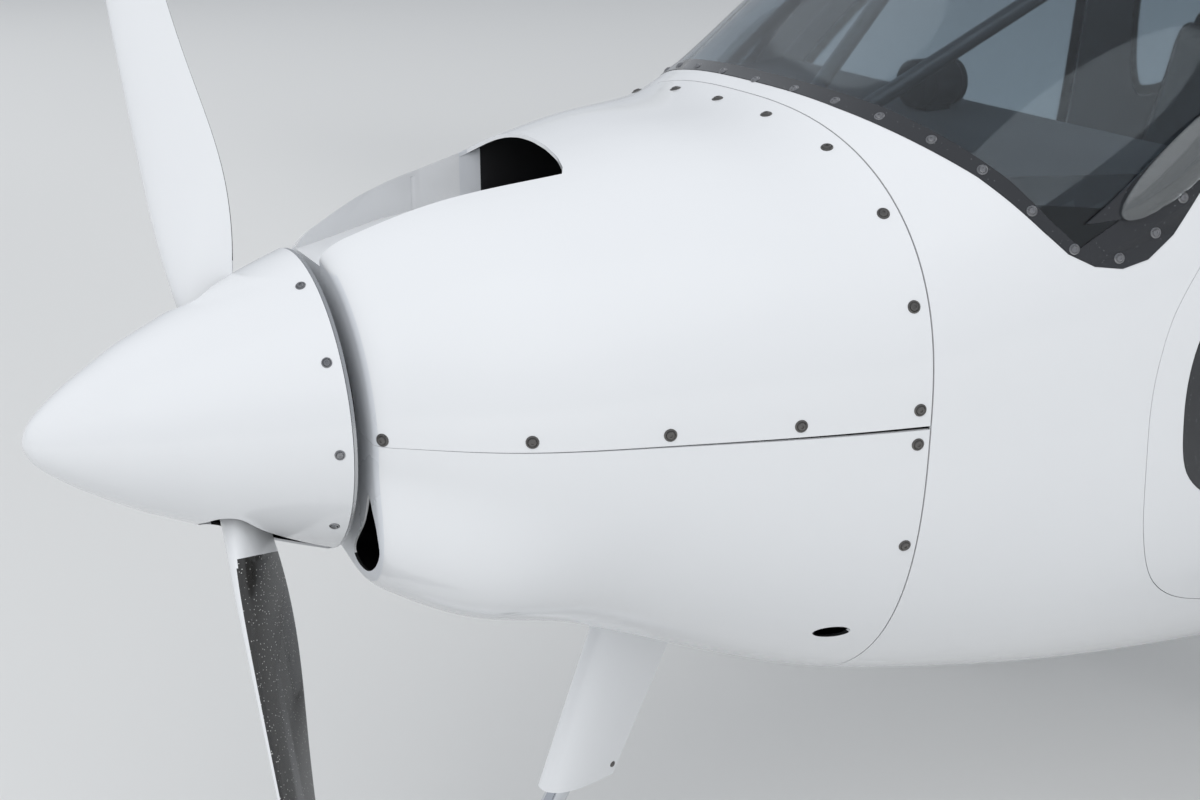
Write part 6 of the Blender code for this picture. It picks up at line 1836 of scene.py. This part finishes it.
class Cabin(Assembly):
    """Glareshield, panel, compass, braces, stick and seats."""

    PANEL = ((0.975, 0.262), (1.304, 0.268), (1.312, 0.266), (1.316, 0.260), (1.314, 0.253), (1.306, 0.250),
             (1.235, 0.240), (1.215, -0.06), (1.190, -0.06), (1.200, 0.224), (0.970, 0.240))

    def __init__(self, palette: Palette) -> None:
        """Keep the finishes and the stations of the lining."""
        super().__init__(palette)
        self.lining = stations_between(0.909, 2.70, 0.03)

    def board(self) -> None:
        """Glareshield with its hanging panel face."""
        piece = Maker.solid("panel_board", Maker.prism(self.PANEL, -0.7, 0.7))
        Maker.cut(piece, body_plug(self.lining, -0.006, 144), "INTERSECT")
        self.palette.dress(piece, "shelf", "panel")
        for face in piece.data.polygons:
            if face.center.z < AXIS_Z + 0.238:
                face.material_index = 1
        settle(piece, "airframe", "panel_grey", "instrument_panel")

    def gauges(self) -> None:
        """Round instruments, switches and knobs on the panel's rear face."""
        tilt = Vector((0, 0.30, -0.02)).normalized()
        rims, dials, marks = [], [], []
        for x, z, radius in ((0.245, 0.165, 0.038), (0.155, 0.165, 0.038), (0.245, 0.075, 0.038),
                             (0.155, 0.075, 0.038), (0.335, 0.155, 0.028), (0.335, 0.085, 0.028),
                             (0.065, 0.170, 0.028), (0.0, 0.170, 0.028), (0.065, 0.100, 0.028),
                             (0.0, 0.100, 0.028), (-0.150, 0.165, 0.028), (-0.215, 0.165, 0.028),
                             (-0.150, 0.100, 0.028), (-0.215, 0.100, 0.028), (-0.280, 0.165, 0.028)):
            face = place(1.215 + (z + 0.06) / 0.30 * 0.020 + 0.0004, z, x)
            rims.append(Maker.lathe(((radius, 0.0), (radius + 0.005, 0.0), (radius + 0.005, 0.004),
                                     (radius + 0.002, 0.006), (radius, 0.005)), face, tilt, 40))
            dials.append(Maker.lathe(((0.0, 0.0), (radius - 0.0004, 0.0), (radius - 0.0004, 0.0020),
                                      (0.0, 0.0020)), face, tilt, 40))
            for k in range(10):
                a = math.radians(-135 + 30 * k)
                spot = face + tilt * 0.0021 + Vector((math.sin(a), 0, math.cos(a))) * radius * 0.84
                marks.append(Maker.lathe(((0.0, 0.0), (0.0016, 0.0), (0.0016, 0.0004), (0.0, 0.0004)),
                                         spot, tilt, 8))
            a = 0.7 + 9.0 * x
            marks.append(Maker.tube((face + tilt * 0.0034, face + tilt * 0.0034
                                     + Vector((math.sin(a), 0, math.cos(a))) * radius * 0.7), 0.0009, 6))
        for k in range(8):
            spot = place(1.2185, 0.015, -0.20 + 0.045 * k)
            rims.append(Maker.tube((spot, spot + tilt * 0.018), 0.0035, 10))
            marks.append(Maker.lathe(((0.0, 0.0), (0.0065, 0.0), (0.0060, 0.002), (0.0, 0.002)), spot,
                                     tilt, 6))
        for name, parts, key in (("gauge_rims", rims, "black"), ("gauge_dials", dials, "dial"),
                                 ("gauge_marks", marks, "mark")):
            made = join(name, parts)
            self.palette.dress(made, key)
            settle(made, "airframe", "black_plastic")

    def compass(self) -> None:
        """Drum compass on its foot."""
        start = place(1.178, 0.302)
        drum = join("compass_body", [
            Maker.lathe(((0.0, 0.0), (0.020, 0.0), (0.026, 0.0015), (0.0308, 0.005), (0.0325, 0.010),
                         (0.0325, 0.022), (0.0318, 0.023), (0.0318, 0.025), (0.0325, 0.026), (0.0325, 0.064),
                         (0.0318, 0.066), (0.0318, 0.068), (0.0325, 0.069), (0.0325, 0.072), (0.0305, 0.078),
                         (0.026, 0.080), (0.0, 0.080)), start, Vector((0, 1, 0)), 64)])
        foot = ((-0.018, 0.20), (0.018, 0.20), (0.018, 0.302), (-0.018, 0.302))
        Maker.cut(drum, Maker.prism(foot, 1.198, 1.238, "end"), "UNION")
        shelf = ((0.975, 0.2623), (1.310, 0.2683), (1.310, 0.10), (0.975, 0.10))
        Maker.cut(drum, Maker.prism(shelf, -0.2, 0.2))
        self.put(drum, "black", "airframe", "black_plastic", "compass")

    def braces(self) -> None:
        """Windscreen frame tubes from the shelf to the cabin's roof."""
        shelf = ((0.960, 0.2623), (1.310, 0.2683), (1.310, 0.10), (0.960, 0.10))
        for side in Side:
            tube = join("brace_tube_" + side.label, [
                Maker.tube((place(1.00, 0.242, side.value * 0.03), place(1.62, 0.680, side.value * 0.30)),
                           0.011, 32)])
            Maker.cut(tube, Maker.prism(shelf, -0.2, 0.2))
            Maker.cut(tube, body_plug(self.lining, -0.006, 144), "INTERSECT")
            self.put(tube, "steel", "airframe", "painted_steel", "screen_brace_" + side.label)

    def stick(self) -> None:
        """Control stick with its grip."""
        path = [place(1.40, -0.3997), place(1.40, -0.20), place(1.43, -0.05)]
        made = join("stick_tube", [Maker.tube(path, 0.0135, 24, 2)])
        self.put(made, "black", "airframe", "black_plastic", "control_stick")

    def build(self) -> None:
        """The whole cabin."""
        self.board()
        self.gauges()
        self.compass()
        self.braces()
        self.stick()
        Seats(self.palette).build()
        self.palette.redress("cabin_floor", "black")
        self.palette.redress("rear_bulkhead", "interior")
        self.palette.redress("firewall", "aluminium")
        self.palette.redress("engine_block", "aluminium")


def main() -> None:
    logging.basicConfig(level=logging.INFO, format="%(name)s %(message)s")
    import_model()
    palette = Palette()
    cowling = Cowling(palette)
    cowling.upper()
    cowling.lower()
    cowling.screws()
    shell = Shell(palette)
    shell.skin()
    shell.windscreen()
    shell.vents()
    shell.doors()
    Propeller(palette).build()
    Wings(palette).build()
    Tail(palette).build()
    Gear(palette).build()
    Cabin(palette).build()
    studio = Studio()
    studio.camera()
    studio.floor()
    studio.light()


if __name__ == "__main__":
    main()
